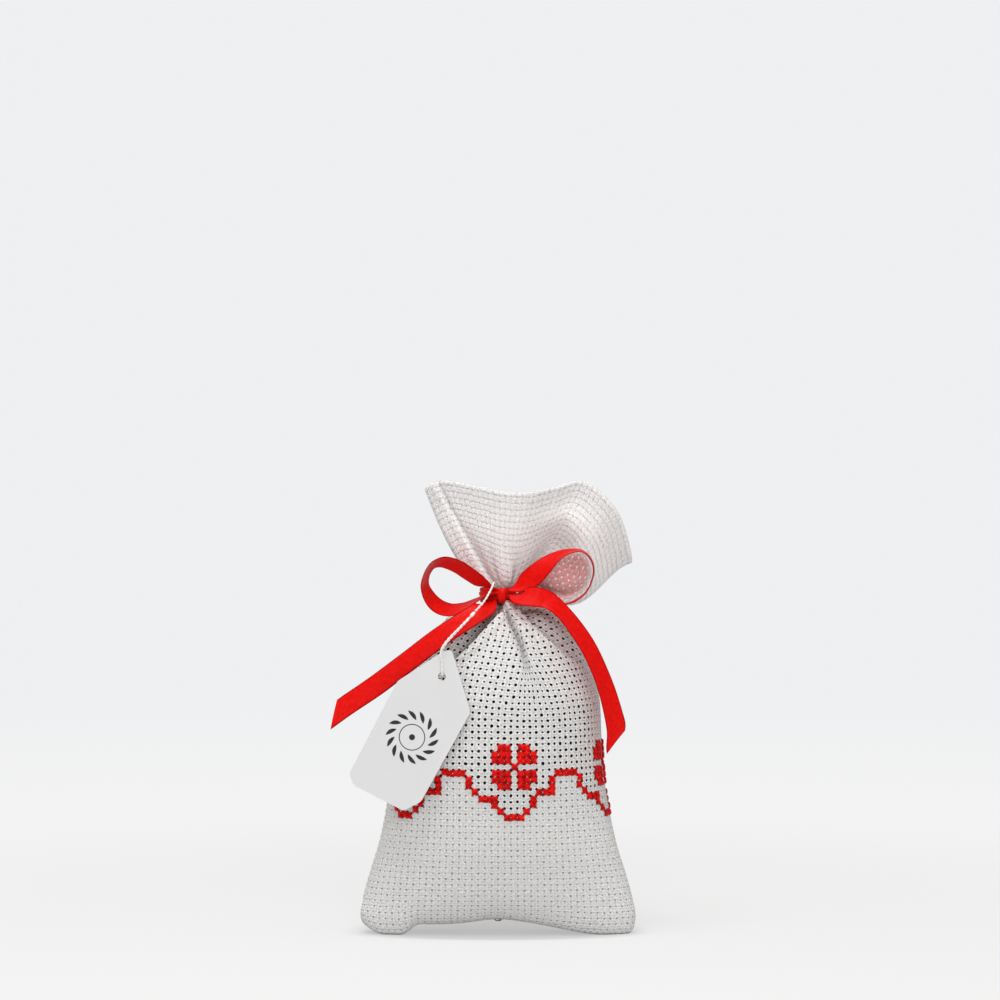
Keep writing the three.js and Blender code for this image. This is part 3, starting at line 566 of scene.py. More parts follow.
evenSquares = np.arange(bag["columns"] + 1) * squaresAround / bag["columns"]
columnTurns = turnOfSquare(evenSquares)
sections = np.array(bag["sections"])
sectionKnots = np.concatenate([[0], np.cumsum(np.hypot(np.diff(sections[:, 2]), np.diff(sections[:, 0])))])


def bodyPoint(turn, along):
    # oval sections whose width, depth and squareness change along the cloth
    height, wide, deep, squareness = np.moveaxis(smoothRow(along, sectionKnots, sections), -1, 0)
    angle = 2 * math.pi * turn
    power = 2 / squareness
    x = -wide * np.sign(np.cos(angle)) * np.abs(np.cos(angle)) ** power
    y = -deep * np.sign(np.sin(angle)) * np.abs(np.sin(angle)) ** power
    tuck = np.where(along < sectionKnots[1], archSpan(x), 1)
    near = np.clip(1 - height / bag["footReach"], 0, 1) ** 2
    corner = bag["footLift"] * smoothstep(-x, *bag["footCorner"]) * near
    return np.stack([x, y, height * tuck + archRise(x, height) + corner], axis=-1)


rimLine, _ = softPath(bag["rim"], 1441, closed=True)


def frillPoint(square, turn, rise):
    # from the gathered neck out to the rim, with a droop on the right and a dent in front
    share = (square / squaresAround + bag["rimShift"]) % 1
    places = np.linspace(0, 1, len(rimLine))
    edge = np.stack([np.interp(share, places, rimLine[:, k]) for k in range(3)], axis=-1)
    angle = 2 * math.pi * (turn + bag["neckTwist"])
    middle, swing = bag["flare"]
    amount, place, reach = bag["tuck"]
    straighter = amount * np.exp(-((share - place) / reach) ** 2)
    across = rise ** (middle - swing * np.cos(2 * math.pi * share) + straighter)
    deep, place, reach = bag["sag"]
    sag = deep * np.sin(math.pi * rise) ** 2 * np.exp(-((share - place) / reach) ** 2)
    dent, ridge = bag["dent"], bag["ridge"]
    aside, above = share - dent["turn"], rise - dent["rise"]
    wide, tall = np.where(aside < 0, *dent["wide"]), np.where(above < 0, *dent["tall"])
    hollow = dent["deep"] * np.exp(-(aside / wide) ** 2 - (above / tall) ** 2)
    higher = (above - ridge["above"]) / ridge["tall"]
    hollow -= ridge["high"] * np.exp(-(aside / ridge["wide"]) ** 2 - higher ** 2)
    x = -bag["neckRadius"] * np.cos(angle) * (1 - across) + edge[..., 0] * across
    y = -bag["neckRadius"] * np.sin(angle) * (1 - across) + edge[..., 1] * across + hollow
    return np.stack([x, y, edge[..., 2] * rise ** bag["lift"] - sag + bag["frillFoot"]], axis=-1)


def arcRound(points):
    # running length round each row from its first column, and the whole length of each row
    step = np.linalg.norm(np.roll(points, -1, 1) - points, axis=2)
    return np.cumsum(step, axis=1) - step, step.sum(axis=1, keepdims=True)


def fromLine(arc, total, turn):
    # signed length round each row from a line that crosses row i at turn[i]
    columns = arc.shape[1]
    place = np.interp(turn % 1, columnTurns, np.arange(columns + 1))
    low = np.minimum(place.astype(int), columns - 1)
    closed = np.concatenate([arc, total], axis=1)
    rows = np.arange(len(arc))
    line = closed[rows, low] + (place - low) * (closed[rows, low + 1] - closed[rows, low])
    return (arc - line[:, None] + total / 2) % total - total / 2


def creaseTurn(crease, level):
    # turn of a crease at each level, straight between its points
    line = np.array(crease["line"])
    return np.interp(level, line[:, 0], line[:, 1])


def outwardOf(points):
    # normal of the cloth: its direction round the bag crossed with its direction upwards
    return unit(np.cross(np.roll(points, -1, 1) - np.roll(points, 1, 1), np.gradient(points, axis=0)))


def fold(points, level, creases):
    # a crease sinks the cloth along its normal, steeply on its short side and slowly on its long one;
    # the short side rolls up a little and leans over the crease
    arc, total = arcRound(points)
    onward = unit(np.roll(points, -1, 1) - np.roll(points, 1, 1))
    sink = np.zeros(arc.shape)
    lean = np.zeros(arc.shape)
    rollBy, rollAt, rollWide = bag["roll"]
    leanBy, leanAt, leanWide = bag["lean"]
    for crease in creases:
        away = fromLine(arc, total, creaseTurn(crease, level))
        deep = crease["deep"] * smoothstep(level, *crease["show"])[:, None]
        sink += deep * np.exp(-np.abs(away / np.where(away < 0, crease["left"], crease["right"])) ** 1.5)
        short = 1 if crease["right"] < crease["left"] else -1
        past = away * short - bag["rollStart"] * min(crease["left"], crease["right"])
        sink -= rollBy * deep * np.exp(-((past - rollAt) / rollWide) ** 2)
        lean -= leanBy * short * deep * np.exp(-((past - leanAt) / leanWide) ** 2)
    radius = np.hypot(points[..., 0], points[..., 1])
    lowest, deepest = bag["sinkLimits"]
    sink = np.clip(sink, lowest * radius, deepest * radius)
    lean = np.clip(lean, -bag["leanLimit"] * radius, bag["leanLimit"] * radius)
    return points - outwardOf(points) * sink[..., None] + onward * lean[..., None], sink


def countSquares(points, level, creases, share, even):
    # squares round the cloth: each panel between two creases keeps its squares at their true size, counted
    # from its middle, and the cloth that is left over is tucked away in the creases
    arc, total = arcRound(points)
    lines = [creaseTurn(crease, level) for crease in creases]
    # the panels' middles leave the upright slowly and lean over towards the top
    aloft = np.clip((level - level[0]) / (level[-1] - level[0]), 0, 1)
    if len(even) > 1:
        start = bag["shoulder"][0]
        aloft = np.clip((level - start) / (level[-1] - start), 0, 1) ** 2.2
    ends = [(crease["line"][0][1], crease["line"][-1][1]) for crease in creases]
    straight = [first + (last - first) * aloft for first, last in ends]
    shift = np.zeros(arc.shape)
    for k, crease in enumerate(creases):
        beside = creases[(k + 1) % len(creases)]
        wrap = 1.0 if k == len(creases) - 1 else 0.0
        middle = (straight[k] + straight[(k + 1) % len(lines)] + wrap) / 2
        first = (crease["line"][0][1] + beside["line"][0][1] + wrap) / 2
        square = np.interp(first % 1, columnTurns, evenSquares)
        spread = fromLine(arc, total, middle) / clothPitch
        offset = (even - square + squaresAround / 2) % squaresAround - squaresAround / 2
        weight = np.ones(arc.shape)
        for edge, line, side in ((crease, lines[k], 1), (beside, lines[(k + 1) % len(lines)], -1)):
            blur = (4.5 - 4.1 * smoothstep(level, *edge["show"]))[:, None]
            weight = weight * smoothstep(side * fromLine(arc, total, line), -blur, blur)
        shift += weight * (spread - offset)
    return even + share[:, None] * shift


def puffed(points):
    # a coarse copy of the body is blown up as cloth, held at the bottom and at the neck; the way that each
    # place moves outwards, up to a cap, is laid over the fine cloth
    puff = bag["puff"]
    rows = np.unique(np.append(np.arange(0, len(points), puff["every"]), len(points) - 1))
    columns = np.arange(0, points.shape[1], puff["every"])
    coarse = points[rows][:, columns]
    piece = meshObject("puffing", coarse * mm, gridFaces(len(rows), len(columns), wrapCols=True))
    height = coarse[..., 2]
    hold = 1 - smoothstep(height, *puff["low"]) * (1 - smoothstep(height, *puff["high"]))
    held = piece.vertex_groups.new(name="held")
    for index, weight in enumerate(hold.ravel().tolist()):
        held.add([index], weight, "REPLACE")
    blown = piece.modifiers.new("blown", "CLOTH").settings
    blown.use_pressure = True
    blown.uniform_pressure_force = puff["pressure"]
    blown.effector_weights.gravity = 0
    blown.vertex_group_mass = "held"
    stage = bpy.context.scene
    for step in range(1, puff["frames"] + 1):
        stage.frame_set(step)
    mesh = piece.evaluated_get(bpy.context.evaluated_depsgraph_get()).data
    moved = np.empty(len(mesh.vertices) * 3, np.float32)
    mesh.vertices.foreach_get("co", moved)
    stage.frame_set(1)
    bpy.data.objects.remove(piece)
    outward = ((moved.reshape(coarse.shape) / mm - coarse) * outwardOf(coarse)).sum(axis=-1)
    outward = np.clip(outward, 0, puff["cap"])
    # from the coarse grid to the fine one, along the columns and then along the rows
    span = np.arange(points.shape[1])
    closed = np.concatenate([outward, outward[:, :1]], axis=1)
    wide = np.stack([np.interp(span, np.append(columns, points.shape[1]), row) for row in closed])
    tall = np.stack([np.interp(np.arange(len(points)), rows, column) for column in wide.T], axis=1)
    return points + outwardOf(points) * tall[..., None]


def bodyCloth():
    # rows of points up the cloth, their squares and rows of the weave, and how far the folds sink
    fine = np.linspace(0, sectionKnots[-1], 4000)
    heights = smoothRow(fine, sectionKnots, sections[:, 0])
    spacing = np.interp(fine, *np.array(bag["rowSteps"]).T)
    count = np.concatenate([[0], np.cumsum(np.diff(fine) / spacing[1:])])
    along = np.interp(np.linspace(0, count[-1], int(count[-1]) + 1), count, fine)
    turn, up = np.broadcast_arrays(columnTurns[None, :-1], along[:, None])
    points = bodyPoint(turn, up)
    level = smoothRow(along, sectionKnots, sections[:, 0])
    # below the belly the squares lie evenly along each row's own length
    arc, total = arcRound(points)
    even = evenSquares[None, :-1] + 0 * arc
    even += (1 - smoothstep(level, *bag["evenBelow"]))[:, None] * (arc / total * squaresAround - even)
    points, sink = fold(points, level, bag["creases"])
    points = puffed(points)
    squares = countSquares(points, level, bag["creases"], smoothstep(level, *bag["shoulder"]), even)
    # rows are counted from the middle of the flowers
    upper = fine > sectionKnots[2]
    flowerAt = np.interp(bag["flowerHeight"], heights[upper], fine[upper])
    fromFlower = (along - flowerAt) / clothPitch
    arc, total = arcRound(points)
    aside = fromLine(arc, total, creaseTurn(bag["creases"][3], level))
    dip = np.interp(level, *np.array(bag["rowDip"], float).T)[:, None]
    dip = dip * np.exp(-(aside / np.where(aside < 0, *bag["dipReach"])) ** 2)
    return points, squares, fromFlower[:, None] + dip / clothPitch, sink, fromFlower, even


def frillCloth(lastRow):
    # rows of points from the tie to the rim and down the hem, and their squares and rows of the weave
    rise = np.linspace(0, 1, bag["frillRows"]) ** 0.9
    square, turn, tall = np.broadcast_arrays(evenSquares[None, :-1], columnTurns[None, :-1], rise[:, None])
    points, _ = fold(frillPoint(square, turn, tall), rise, bag["pleats"])
    gathered = 1 - smoothstep(rise, 0.3, 0.85)
    squares = countSquares(points, rise, bag["pleats"], gathered, evenSquares[None, :-1])
    # the rim rolls over and its hem runs back down inside
    outward = outwardOf(points)[-1]
    down = unit(points[-4] - points[-1])
    roll = np.linspace(0, math.pi, 5)[1:, None, None]
    thick = bag["hemThickness"]
    hem = points[-1] - outward * thick * (1 - np.cos(roll)) / 2 - down * thick / 2 * np.sin(roll)
    inside = np.linspace(0, bag["hem"], 6)[1:, None, None]
    hem = np.concatenate([hem, points[-1] - outward * thick + down * inside])
    points = np.concatenate([points, hem])
    squares = np.concatenate([squares, np.repeat(squares[-1:], len(hem), axis=0)])
    # rows of the weave run parallel to the rim
    step = np.linalg.norm(np.diff(points, axis=0), axis=2)
    run = np.concatenate([np.zeros((1, points.shape[1])), np.cumsum(step, axis=0)])
    return points, squares, lastRow + bag["frillSquares"] + (run - run[len(rise) - 1]) / clothPitch


body, bodySquares, bodyRows, bodySink, evenRows, bodyEven = bodyCloth()
frill, frillSquares, frillRows = frillCloth(evenRows[-1])
cloth = np.concatenate([body, frill])
bodyRowCount = len(body)
print("cloth laid out:", cloth.shape[0], "rows of", cloth.shape[1])


# column of every eighth of a square, in each row of the body
parts = 8
spots = np.arange(squaresAround * parts + 1) / parts
squareColumns = np.stack([np.interp(spots, np.append(row, squaresAround), np.arange(len(row) + 1))
                          for row in bodyEven])


def onCloth(square, row, lift):
    # bilinear place on the finished cloth, raised along its outward normal
    normal = outwardOf(body)
    columns = body.shape[1]
    i = np.interp(row, evenRows, np.arange(bodyRowCount))
    i0 = np.minimum(i.astype(int), bodyRowCount - 2)
    fi = (i - i0)[..., None]
    part = (square % squaresAround) * parts
    p0 = np.minimum(part.astype(int), squaresAround * parts - 1)
    near = squareColumns[i0, p0] * (1 - fi[..., 0]) + squareColumns[i0 + 1, p0] * fi[..., 0]
    after = squareColumns[i0, p0 + 1] * (1 - fi[..., 0]) + squareColumns[i0 + 1, p0 + 1] * fi[..., 0]
    j = near + (after - near) * (part - p0)
    j0 = np.floor(j).astype(int)
    fj = (j - j0)[..., None]

    def pick(field):
        a, b = field[i0, j0 % columns], field[i0, (j0 + 1) % columns]
        c, d = field[i0 + 1, j0 % columns], field[i0 + 1, (j0 + 1) % columns]
        return (a * (1 - fj) + b * fj) * (1 - fi) + (c * (1 - fj) + d * fj) * fi

    return pick(body) + unit(pick(normal)) * np.asarray(lift)[..., None]


weave = {
    "stray": 0.28,                         # threads wander by this share of a square
    "hole": 0.155, "largerHole": 0.055,    # radius in squares, and what every second hole has more
    "holeChance": 0.05, "holeShrink": 0.55, "holeOpen": 0.5,
}


def weaveGroup():
    # squares of thread bundles with a hole at each corner, on coordinates counted in squares
    masks = ["Height", "Hole", "Ring", "Thread", "Fleck", "Lane"]
    tree, nodes = newGroup("even_weave", [("Squares", "Vector"), ("Open", "Float")],
                           [(mask, "Float") for mask in masks])
    given = nodes.outputs("NodeGroupInput")
    opened = given["Open"]
    wander = {"Vector": given["Squares"], "Scale": 1.1, "Detail": 1.0}
    stray = nodes.value("ShaderNodeTexNoise", wander, "Color")
    stray = nodes.vector("SUBTRACT", stray, (0.5, 0.5, 0.5))
    squares = nodes.vector("MULTIPLY_ADD", stray, (weave["stray"], weave["stray"], 0.0), given["Squares"])
    u, v, _ = nodes.split(squares)

    def isOdd(a, b):
        both = nodes.math("FLOOR", a) + nodes.math("FLOOR", b)
        return nodes.math("FRACT", both * 0.5) * 2.0

    du, dv = (nodes.math("FRACT", value) - 0.5 for value in (u, v))
    distance = nodes.math("SQRT", du * du + dv * dv)
    cell = nodes.vector("FLOOR", squares)
    chance = nodes.value("ShaderNodeTexWhiteNoise", {"Vector": cell}, noise_dimensions="3D")
    # every second hole is larger, and the threads that it pushes aside lie round it as a ring
    radius = weave["hole"] + isOdd(u, v) * weave["largerHole"] + (chance - 0.5) * weave["holeChance"]
    beyond = distance - radius * (weave["holeShrink"] + opened * weave["holeOpen"])
    hole = 1.0 - nodes.step(beyond, -0.042, 0.042)
    ring = nodes.step(beyond, 0.0, 0.09) - nodes.step(beyond, 0.1, 0.26)
    # cushion of each square: high in its middle, low in the lanes between squares
    waves = [0.5 + nodes.math("COSINE", value * (2 * math.pi)) * 0.5 for value in (u, v)]
    cushion = nodes.math("POWER", waves[0] * waves[1], 0.4)
    # threads at half a square, over and under in turn
    ribs = [nodes.math("ABSOLUTE", nodes.math("SINE", value * (2 * math.pi))) for value in (u, v)]
    crossed = isOdd(u * 2.0, v * 2.0)
    thread = ribs[0] * crossed + ribs[1] * (1.0 - crossed)
    fleck = nodes.noise(squares, 3.2, 2.0, 0.6)
    height = cushion * (0.12 + opened * 0.12) + thread * 0.3 + fleck * 0.7 - hole * 0.6
    # dashes between the rows, and fainter ones between the columns, broken up by the flecks
    lanes = [nodes.math("POWER", 1.0 - wave, 1.5) for wave in waves]
    lane = lanes[1] * (0.25 + crossed * 0.5) + lanes[0] * (0.4 - crossed * 0.3)
    lane = lane * (1.5 - nodes.step(fleck, 0.35, 0.65))
    nodes.add("NodeGroupOutput", dict(zip(masks, (height, hole, ring, thread, fleck, lane))))
    return tree


evenWeave = weaveGroup()


# tones of the cloth; besides its own, painted shade over the hollow, in the folds and in the holes, and
# painted light on the frill, from the ribbon and through the holes
clothTones = {
    "dull": (0.63, 0.618, 0.608), "pale": (0.69, 0.68, 0.672), "frill": (0.82, 0.805, 0.798),
    "overHollow": (0.4, 0.392, 0.386), "fold": (0.12, 0.103, 0.097), "fleck": (0.9, 0.89, 0.88),
    "gap": (0.42, 0.405, 0.395), "paintedLight": (0.7, 0.3, 0.295),
    "paleHole": (0.44, 0.42, 0.41), "darkHole": (0.006, 0.005, 0.005), "frillHole": (0.66, 0.635, 0.625),
    "litHole": (1.0, 0.96, 0.95),
}


def clothMaterial():
    material, nodes = newMaterial("cross_stitch_cloth")
    hollow, filled, sheer = (nodes.attribute(name) for name in ("hollow", "filled", "sheer"))
    paintedLight, shade = (nodes.attribute(name) for name in ("paintedLight", "shade"))
    lit = nodes.step(paintedLight, 0.4, 0.8)
    opened = nodes.math("MAXIMUM", hollow, lit)
    woven = nodes.outputs("ShaderNodeGroup", {0: nodes.uv(), 1: opened}, node_tree=evenWeave)
    cloud = nodes.noise(nodes.place(), 70.0, 3.0)
    tone = nodes.mix(cloud, clothTones["dull"], clothTones["pale"])
    # painted shade: the cloth is darker over the hollow part of the bag
    tone = nodes.mix(hollow * 0.42, tone, clothTones["overHollow"])
    # painted light: the frill is paler, for the light from above and through it from behind
    tone = nodes.mix(sheer, tone, clothTones["frill"])
    # painted shade in deep folds, at the rim of the frill and on its right end
    tone = nodes.mix(shade * 0.9, tone, clothTones["fold"])
    fleck = nodes.step(woven["Fleck"], 0.36, 0.66) * (0.55 - shade * 0.3)
    tone = nodes.mix(fleck, tone, clothTones["fleck"])
    lane = woven["Lane"] * (sheer * 0.3)
    tone = nodes.mix((1.0 - woven["Thread"]) * 0.1 + lane, tone, clothTones["gap"])
    tone = nodes.mix(woven["Ring"] * (hollow * 0.4), tone, clothTones["fleck"])
    # painted light: red light of the ribbon on the cloth, and daylight through the holes inside the right
    # loop
    tone = nodes.mix(paintedLight * 0.85, tone, clothTones["paintedLight"])
    # the holes are painted in light and shade: dark where the bag is hollow, paler over the pouch, pale on
    # the frill and bright with daylight inside the right loop
    holeTone = nodes.mix(hollow, clothTones["paleHole"], clothTones["darkHole"])
    holeTone = nodes.mix(sheer, holeTone, clothTones["frillHole"])
    holeTone = nodes.mix(lit, holeTone, clothTones["litHole"])
    # at the sides the pouch presses against the cloth and fills its holes
    tone = nodes.mix(woven["Hole"] * (1.0 - filled * 0.85), tone, holeTone)
    height = woven["Height"] * (1.0 - sheer * 0.45) - lane
    finishMaterial(nodes, tone, 0.82 + cloud * 0.1, height, strength=0.85, distance=0.0006, specular=0.15)
    return material


tailPath = softPath(np.array(ribbon["rightTail"])[:, :3] + knot, 60)[0]
loopPath = softPath(np.array(ribbon["rightLoop"])[:, :3] + knot, 60)[0]


def distanceTo(points, path):
    # distance from each place to the nearest point of a path
    return np.linalg.norm(points[..., None, :] - path, axis=-1).min(axis=-1)


def insideLoop(points):
    # 1 inside the right loop as seen from the front, by counting the crossings to the right of each place
    x, z = points[..., 0, None], points[..., 2, None]
    a, b = loopPath[:, [0, 2]], np.roll(loopPath, -1, 0)[:, [0, 2]]
    between = (a[:, 1] > z) != (b[:, 1] > z)
    crossing = a[:, 0] + (z - a[:, 1]) * (b[:, 0] - a[:, 0]) / (b[:, 1] - a[:, 1] + 1e-9)
    inside = (between & (crossing > x)).sum(axis=-1) % 2
    flat = points * [1, 0, 1]
    return inside * smoothstep(distanceTo(flat, loopPath * [1, 0, 1]), 0.0, 1.8)


shading = {
    # painted shade in the holes: darkness of the holes with the pouch behind them, and of those above the
    # vine with nothing behind them; what the height adds to each (amount, from, to), and the rows over which
    # the one turns into the other
    "backedHoles": 0.28, "backedRise": (0.3, 30, 42),
    "openHoles": 1.22, "openRise": (-0.22, 58, 74), "vineEdge": (-1.2, 0.8),
    "shoulderPaler": (0.2, 80, 92), "creaseDark": (0.6, 2.0),
    # the pouch presses against the cloth at the sides, a little higher on the right
    "pressedSlant": (0.32, 0.7), "pressedHeight": (70, 84), "pressedRise": 0.6,
    "faintEdge": (0.5, 1.0, 3.6),
    # painted shade in deep folds, beside two creases, at the rim of the frill and on its right end
    "foldShade": (0.45, 1.6, 5.0), "rimShade": (0.2, 0.62, 1.0), "rightShade": (0.1, 22, 34),
    "pockets": [(2, -1, 3.8, 1.0), (4, 1, 4.5, 0.22)],   # crease, side, reach and amount
    "pocketHeight": (75, 82), "pocketLip": 0.3,
    # painted red light of the ribbon beside the right tail, and on the frill where it faces the front
    "tailRedLight": 0.28, "tailReach": 8, "frontFacing": (0.0, 0.3),
}


def overBag(onBody, onFrill=0.0):
    # one field over the whole cloth, from its values on the body and on the frill
    return np.concatenate([np.broadcast_to(onBody, body.shape[:2]),
                           np.broadcast_to(onFrill, frill.shape[:2])])


def ramp(value, amount, low, high):
    # an amount that comes in softly between two values
    return amount * smoothstep(value, low, high)


def clothFields():
    # values over the cloth that its material reads
    x, height = body[..., 0], body[..., 2]
    # painted shade: holes are painted dark where the bag is hollow behind them, above the vine and in the
    # creases, for the shade inside it
    every = bag["flowerEvery"]
    fromFlower = (bodyEven - bag["firstFlower"] + every / 2) % every - every / 2
    aboveVine = evenRows[:, None] + np.interp(fromFlower, *np.array(bag["vineLine"], float).T)
    backed = shading["backedHoles"] + ramp(height, *shading["backedRise"])
    opened = shading["openHoles"] + ramp(height, *shading["openRise"])
    dark = backed + (opened - backed) * smoothstep(aboveVine, *shading["vineEdge"])
    paler = ramp(height, *shading["shoulderPaler"]) * (1 - smoothstep(bodySink, *shading["creaseDark"]))
    slant = 1 - np.abs(outwardOf(body)[..., 1])
    low = 1 - smoothstep(height - shading["pressedRise"] * x, *shading["pressedHeight"])
    pressed = smoothstep(slant, *shading["pressedSlant"]) * low
    # the weave is faint along the bottom edge
    faint = shading["faintEdge"][0] - ramp(height - archRise(x, height), *shading["faintEdge"])
    # painted shade: deep folds, the rim of the frill and its right end are painted darker
    arc, total = arcRound(body)
    level = height.mean(axis=1)
    pocket = ramp(bodySink, *shading["foldShade"])
    for number, side, reach, share in shading["pockets"]:
        away = side * fromLine(arc, total, creaseTurn(bag["creases"][number], level))
        inside = (away > -shading["pocketLip"]) * smoothstep(level, *shading["pocketHeight"])[:, None]
        pocket += share * np.exp(-(away / reach) ** 2) * inside
    rise = np.concatenate([np.linspace(0, 1, bag["frillRows"]), np.ones(len(frill) - bag["frillRows"])])
    rim = ramp(rise, *shading["rimShade"])[:, None] + ramp(frill[..., 0], *shading["rightShade"])
    # painted light: red light of the ribbon beside the right tail, and on the frill inside the right loop,
    # with daylight through its holes
    besideTail = shading["tailRedLight"] * np.exp(-(distanceTo(body, tailPath) / shading["tailReach"]) ** 2)
    facing = smoothstep(-outwardOf(frill)[..., 1], *shading["frontFacing"])
    facing[bag["frillRows"]:] = 0
    return {
        "hollow": overBag(dark * (1 - paler)), "filled": overBag(pressed), "sheer": overBag(faint, 1.0),
        "paintedLight": overBag(besideTail, insideLoop(frill) * facing),
        "shade": overBag(np.clip(pocket, 0, 1), rim),
    }


def bagCloth():
    # body and frill as one skin, sewn shut at the bottom, with a wall inside it
    rows, columns = cloth.shape[:2]
    faces = gridFaces(rows, columns, wrapCols=True)
    # the weave's coordinates are kept per corner, so that they run on over the seam column
    u = np.concatenate([bodySquares, frillSquares])
    v = np.concatenate([bodyRows, frillRows])
    u = np.concatenate([u, u[:, :1] + squaresAround], axis=1)
    v = np.concatenate([v, v[:, :1]], axis=1)
    r, c = np.divmod(np.arange(len(faces)), columns)
    corners = np.stack([r, r, r + 1, r + 1], axis=1), np.stack([c, c + 1, c + 1, c], axis=1)
    cornerUv = np.stack([u[corners], v[corners]], axis=-1).reshape(-1, 2)
    # the bottom is sewn shut: a strip joins the front of the first row to its back
    front = np.arange(columns // 2)
    strip = np.stack([front, (columns - front) % columns, (columns - front - 1) % columns, front + 1], axis=1)
    strip = [[a for k, a in enumerate(quad) if a not in quad[:k]] for quad in strip.tolist()]
    piece = meshObject("bagCloth", cloth * mm, faces.tolist() + strip, attributes=clothFields())
    layer = piece.data.uv_layers.new(name="UVMap")
    sewn = np.zeros((len(piece.data.loops) - len(cornerUv), 2))
    layer.data.foreach_set("uv", np.concatenate([cornerUv, sewn]).astype(np.float32).ravel())
    wall = piece.modifiers.new("wall", "SOLIDIFY")
    wall.thickness = bag["thickness"] * mm
    wall.offset = -1
    return piece


sack = bagCloth()
dress(sack, clothMaterial(), "bag", "cloth", "bag_body", "bag_frill")
print("bag cloth made")


# Muslin pouch and the dried lavender in it

filling = {
    "foot": 5.4, "full": 44, "dome": 17.2, "mouth": 2.6, "pouchInset": 1.5, "coreInset": 3.2,
    "puckers": 13, "puckerDepth": 0.12, "threadPitch": 0.0006,
    "buds": 520, "budHalf": (0.75, 0.75, 1.5), "budSink": 0.6, "seed": 5,
    "dullMuslin": (0.66, 0.61, 0.52), "paleMuslin": (0.8, 0.76, 0.68),
    "deepViolet": (0.1, 0.07, 0.2), "greyViolet": (0.2, 0.17, 0.27),
}


def sackRings(inset, rows, columns, pucker):
    # the bag's own sections, drawn inwards, up to where the filling ends, and then a dome that is gathered
    # to a small mouth
    upper = np.linspace(sectionKnots[2], sectionKnots[-1], 2000)
    heights = smoothRow(upper, sectionKnots, sections[:, 0])
    level = np.linspace(filling["foot"] + inset / 2, filling["full"], rows)
    along = np.interp(level, heights, upper)
    turn = np.arange(columns) / columns
    wall = bodyPoint(*np.broadcast_arrays(turn[None, :], along[:, None]))
    wall = wall - outwardOf(wall) * inset * [1, 1, 0]
    lift = np.linspace(0, math.pi / 2, rows // 2 + 1)[1:, None]
    ripple = 1 + pucker * np.sin(lift) * np.sin(2 * math.pi * filling["puckers"] * turn)[None, :]
    flat = wall[-1, :, :2]
    mouth = unit(flat) * filling["mouth"]
    draw = (np.cos(lift) * ripple)[..., None]
    height = wall[-1, :, 2] + (filling["dome"] - inset) * np.sin(lift)
    dome = np.concatenate([mouth * (1 - draw) + flat * draw, height[..., None]], axis=-1)
    return np.concatenate([wall, dome])


def closedSack(name, rings):
    # rings joined into a sack with closed ends, with its weave counted as the bag's is
    rows, columns = rings.shape[:2]
    around = np.arange(columns) * squaresAround / columns
    uv = np.stack(np.broadcast_arrays(around[None, :], rings[..., 2] / clothPitch), axis=-1)
    return meshObject(name, rings * mm, tubeFaces(rows, columns), uv)


def muslinMaterial():
    material, nodes = newMaterial("muslin")
    place = nodes.place()
    threads = nodes.math("SINE", nodes.split(place)[2] * (2 * math.pi / filling["threadPitch"]))
    cloud = nodes.noise(place, 300.0, 3.0)
    tone = nodes.mix(cloud, filling["dullMuslin"], filling["paleMuslin"])
    finishMaterial(nodes, tone, 0.85 + cloud * 0.1, threads, strength=0.4, distance=0.0001)
    return material


def budMaterial():
    material, nodes = newMaterial("dried_lavender")
    cloud = nodes.noise(nodes.place(), 420.0, 3.0)
    tone = nodes.mix(nodes.step(cloud, 0.35, 0.65), filling["deepViolet"], filling["greyViolet"])
    finishMaterial(nodes, tone, 0.75 + cloud * 0.2, cloud, strength=0.5, distance=0.0003)
    return material


def lavender():
    # a smooth core with small buds strewn over it, pointing every way
    rings = sackRings(filling["coreInset"], 24, 72, 0.0)
    core = closedSack("lavenderFilling", rings)
    chance = np.random.default_rng(filling["seed"])
    count = filling["buds"]
    budRows, budSides = 5, 6
    bud = ballPoints(ballGrid(budRows, budSides)[2]) * filling["budHalf"]
    row = chance.integers(2, len(rings) - 4, count)
    column = chance.integers(0, rings.shape[1], count)
    long = unit(chance.normal(size=(count, 3)))
    side = unit(np.cross(long, [0.3, 0.5, 0.8]))
    frames = np.stack([side, np.cross(long, side), long], axis=1)
    places = rings[row, column] - outwardOf(rings)[row, column] * filling["budSink"]
    points = np.einsum("ki,nij->nkj", bud, frames) + places[:, None, :]
    one = ballFaces(budRows, budSides)
    faces = [[v + n * len(bud) for v in face] for n in range(count) for face in one]
    buds = meshObject("lavenderBuds", points.reshape(-1, 3) * mm, faces)
    return core, buds


pouch = closedSack("innerPouch", sackRings(filling["pouchInset"], 40, 144, filling["puckerDepth"]))
dress(pouch, muslinMaterial(), "bag", "muslin", "inner_pouch")
dried = budMaterial()
core, buds = lavender()
dress(core, dried, "bag", "lavender", "lavender_filling")
dress(buds, dried, "bag", "lavender")
print("pouch and lavender made")


# Cross-stitches: a flower every 18 squares and a vine that steps down and up between them

stitches = {
    "flowers": range(bag["firstFlower"], squaresAround, bag["flowerEvery"]),
    "wide": 0.3, "reach": 0.515, "jitter": 0.05,              # in squares
    "rise": 0.55, "sink": 0.25, "over": 0.18, "edge": 0.12,   # in mm; the second strand lies over the first
    "slim": 0.55,                                             # share of width and rise that the ends keep
    "deepRed": (0.34, 0.001, 0.0008), "brightRed": (0.86, 0.004, 0.0025), "endRed": (0.16, 0.001, 0.001),
    "vine": [(-7, 2), (-7, 3), (-6, 4), (-5, 5), (-4, 5), (-3, 5), (-3, 6), (-2, 7), (-1, 8), (0, 8), (1, 8),
             (2, 7), (3, 6), (3, 5), (4, 4), (5, 4), (6, 4), (6, 3), (6, 2), (7, 1), (8, 1), (9, 1), (10, 1)],
}


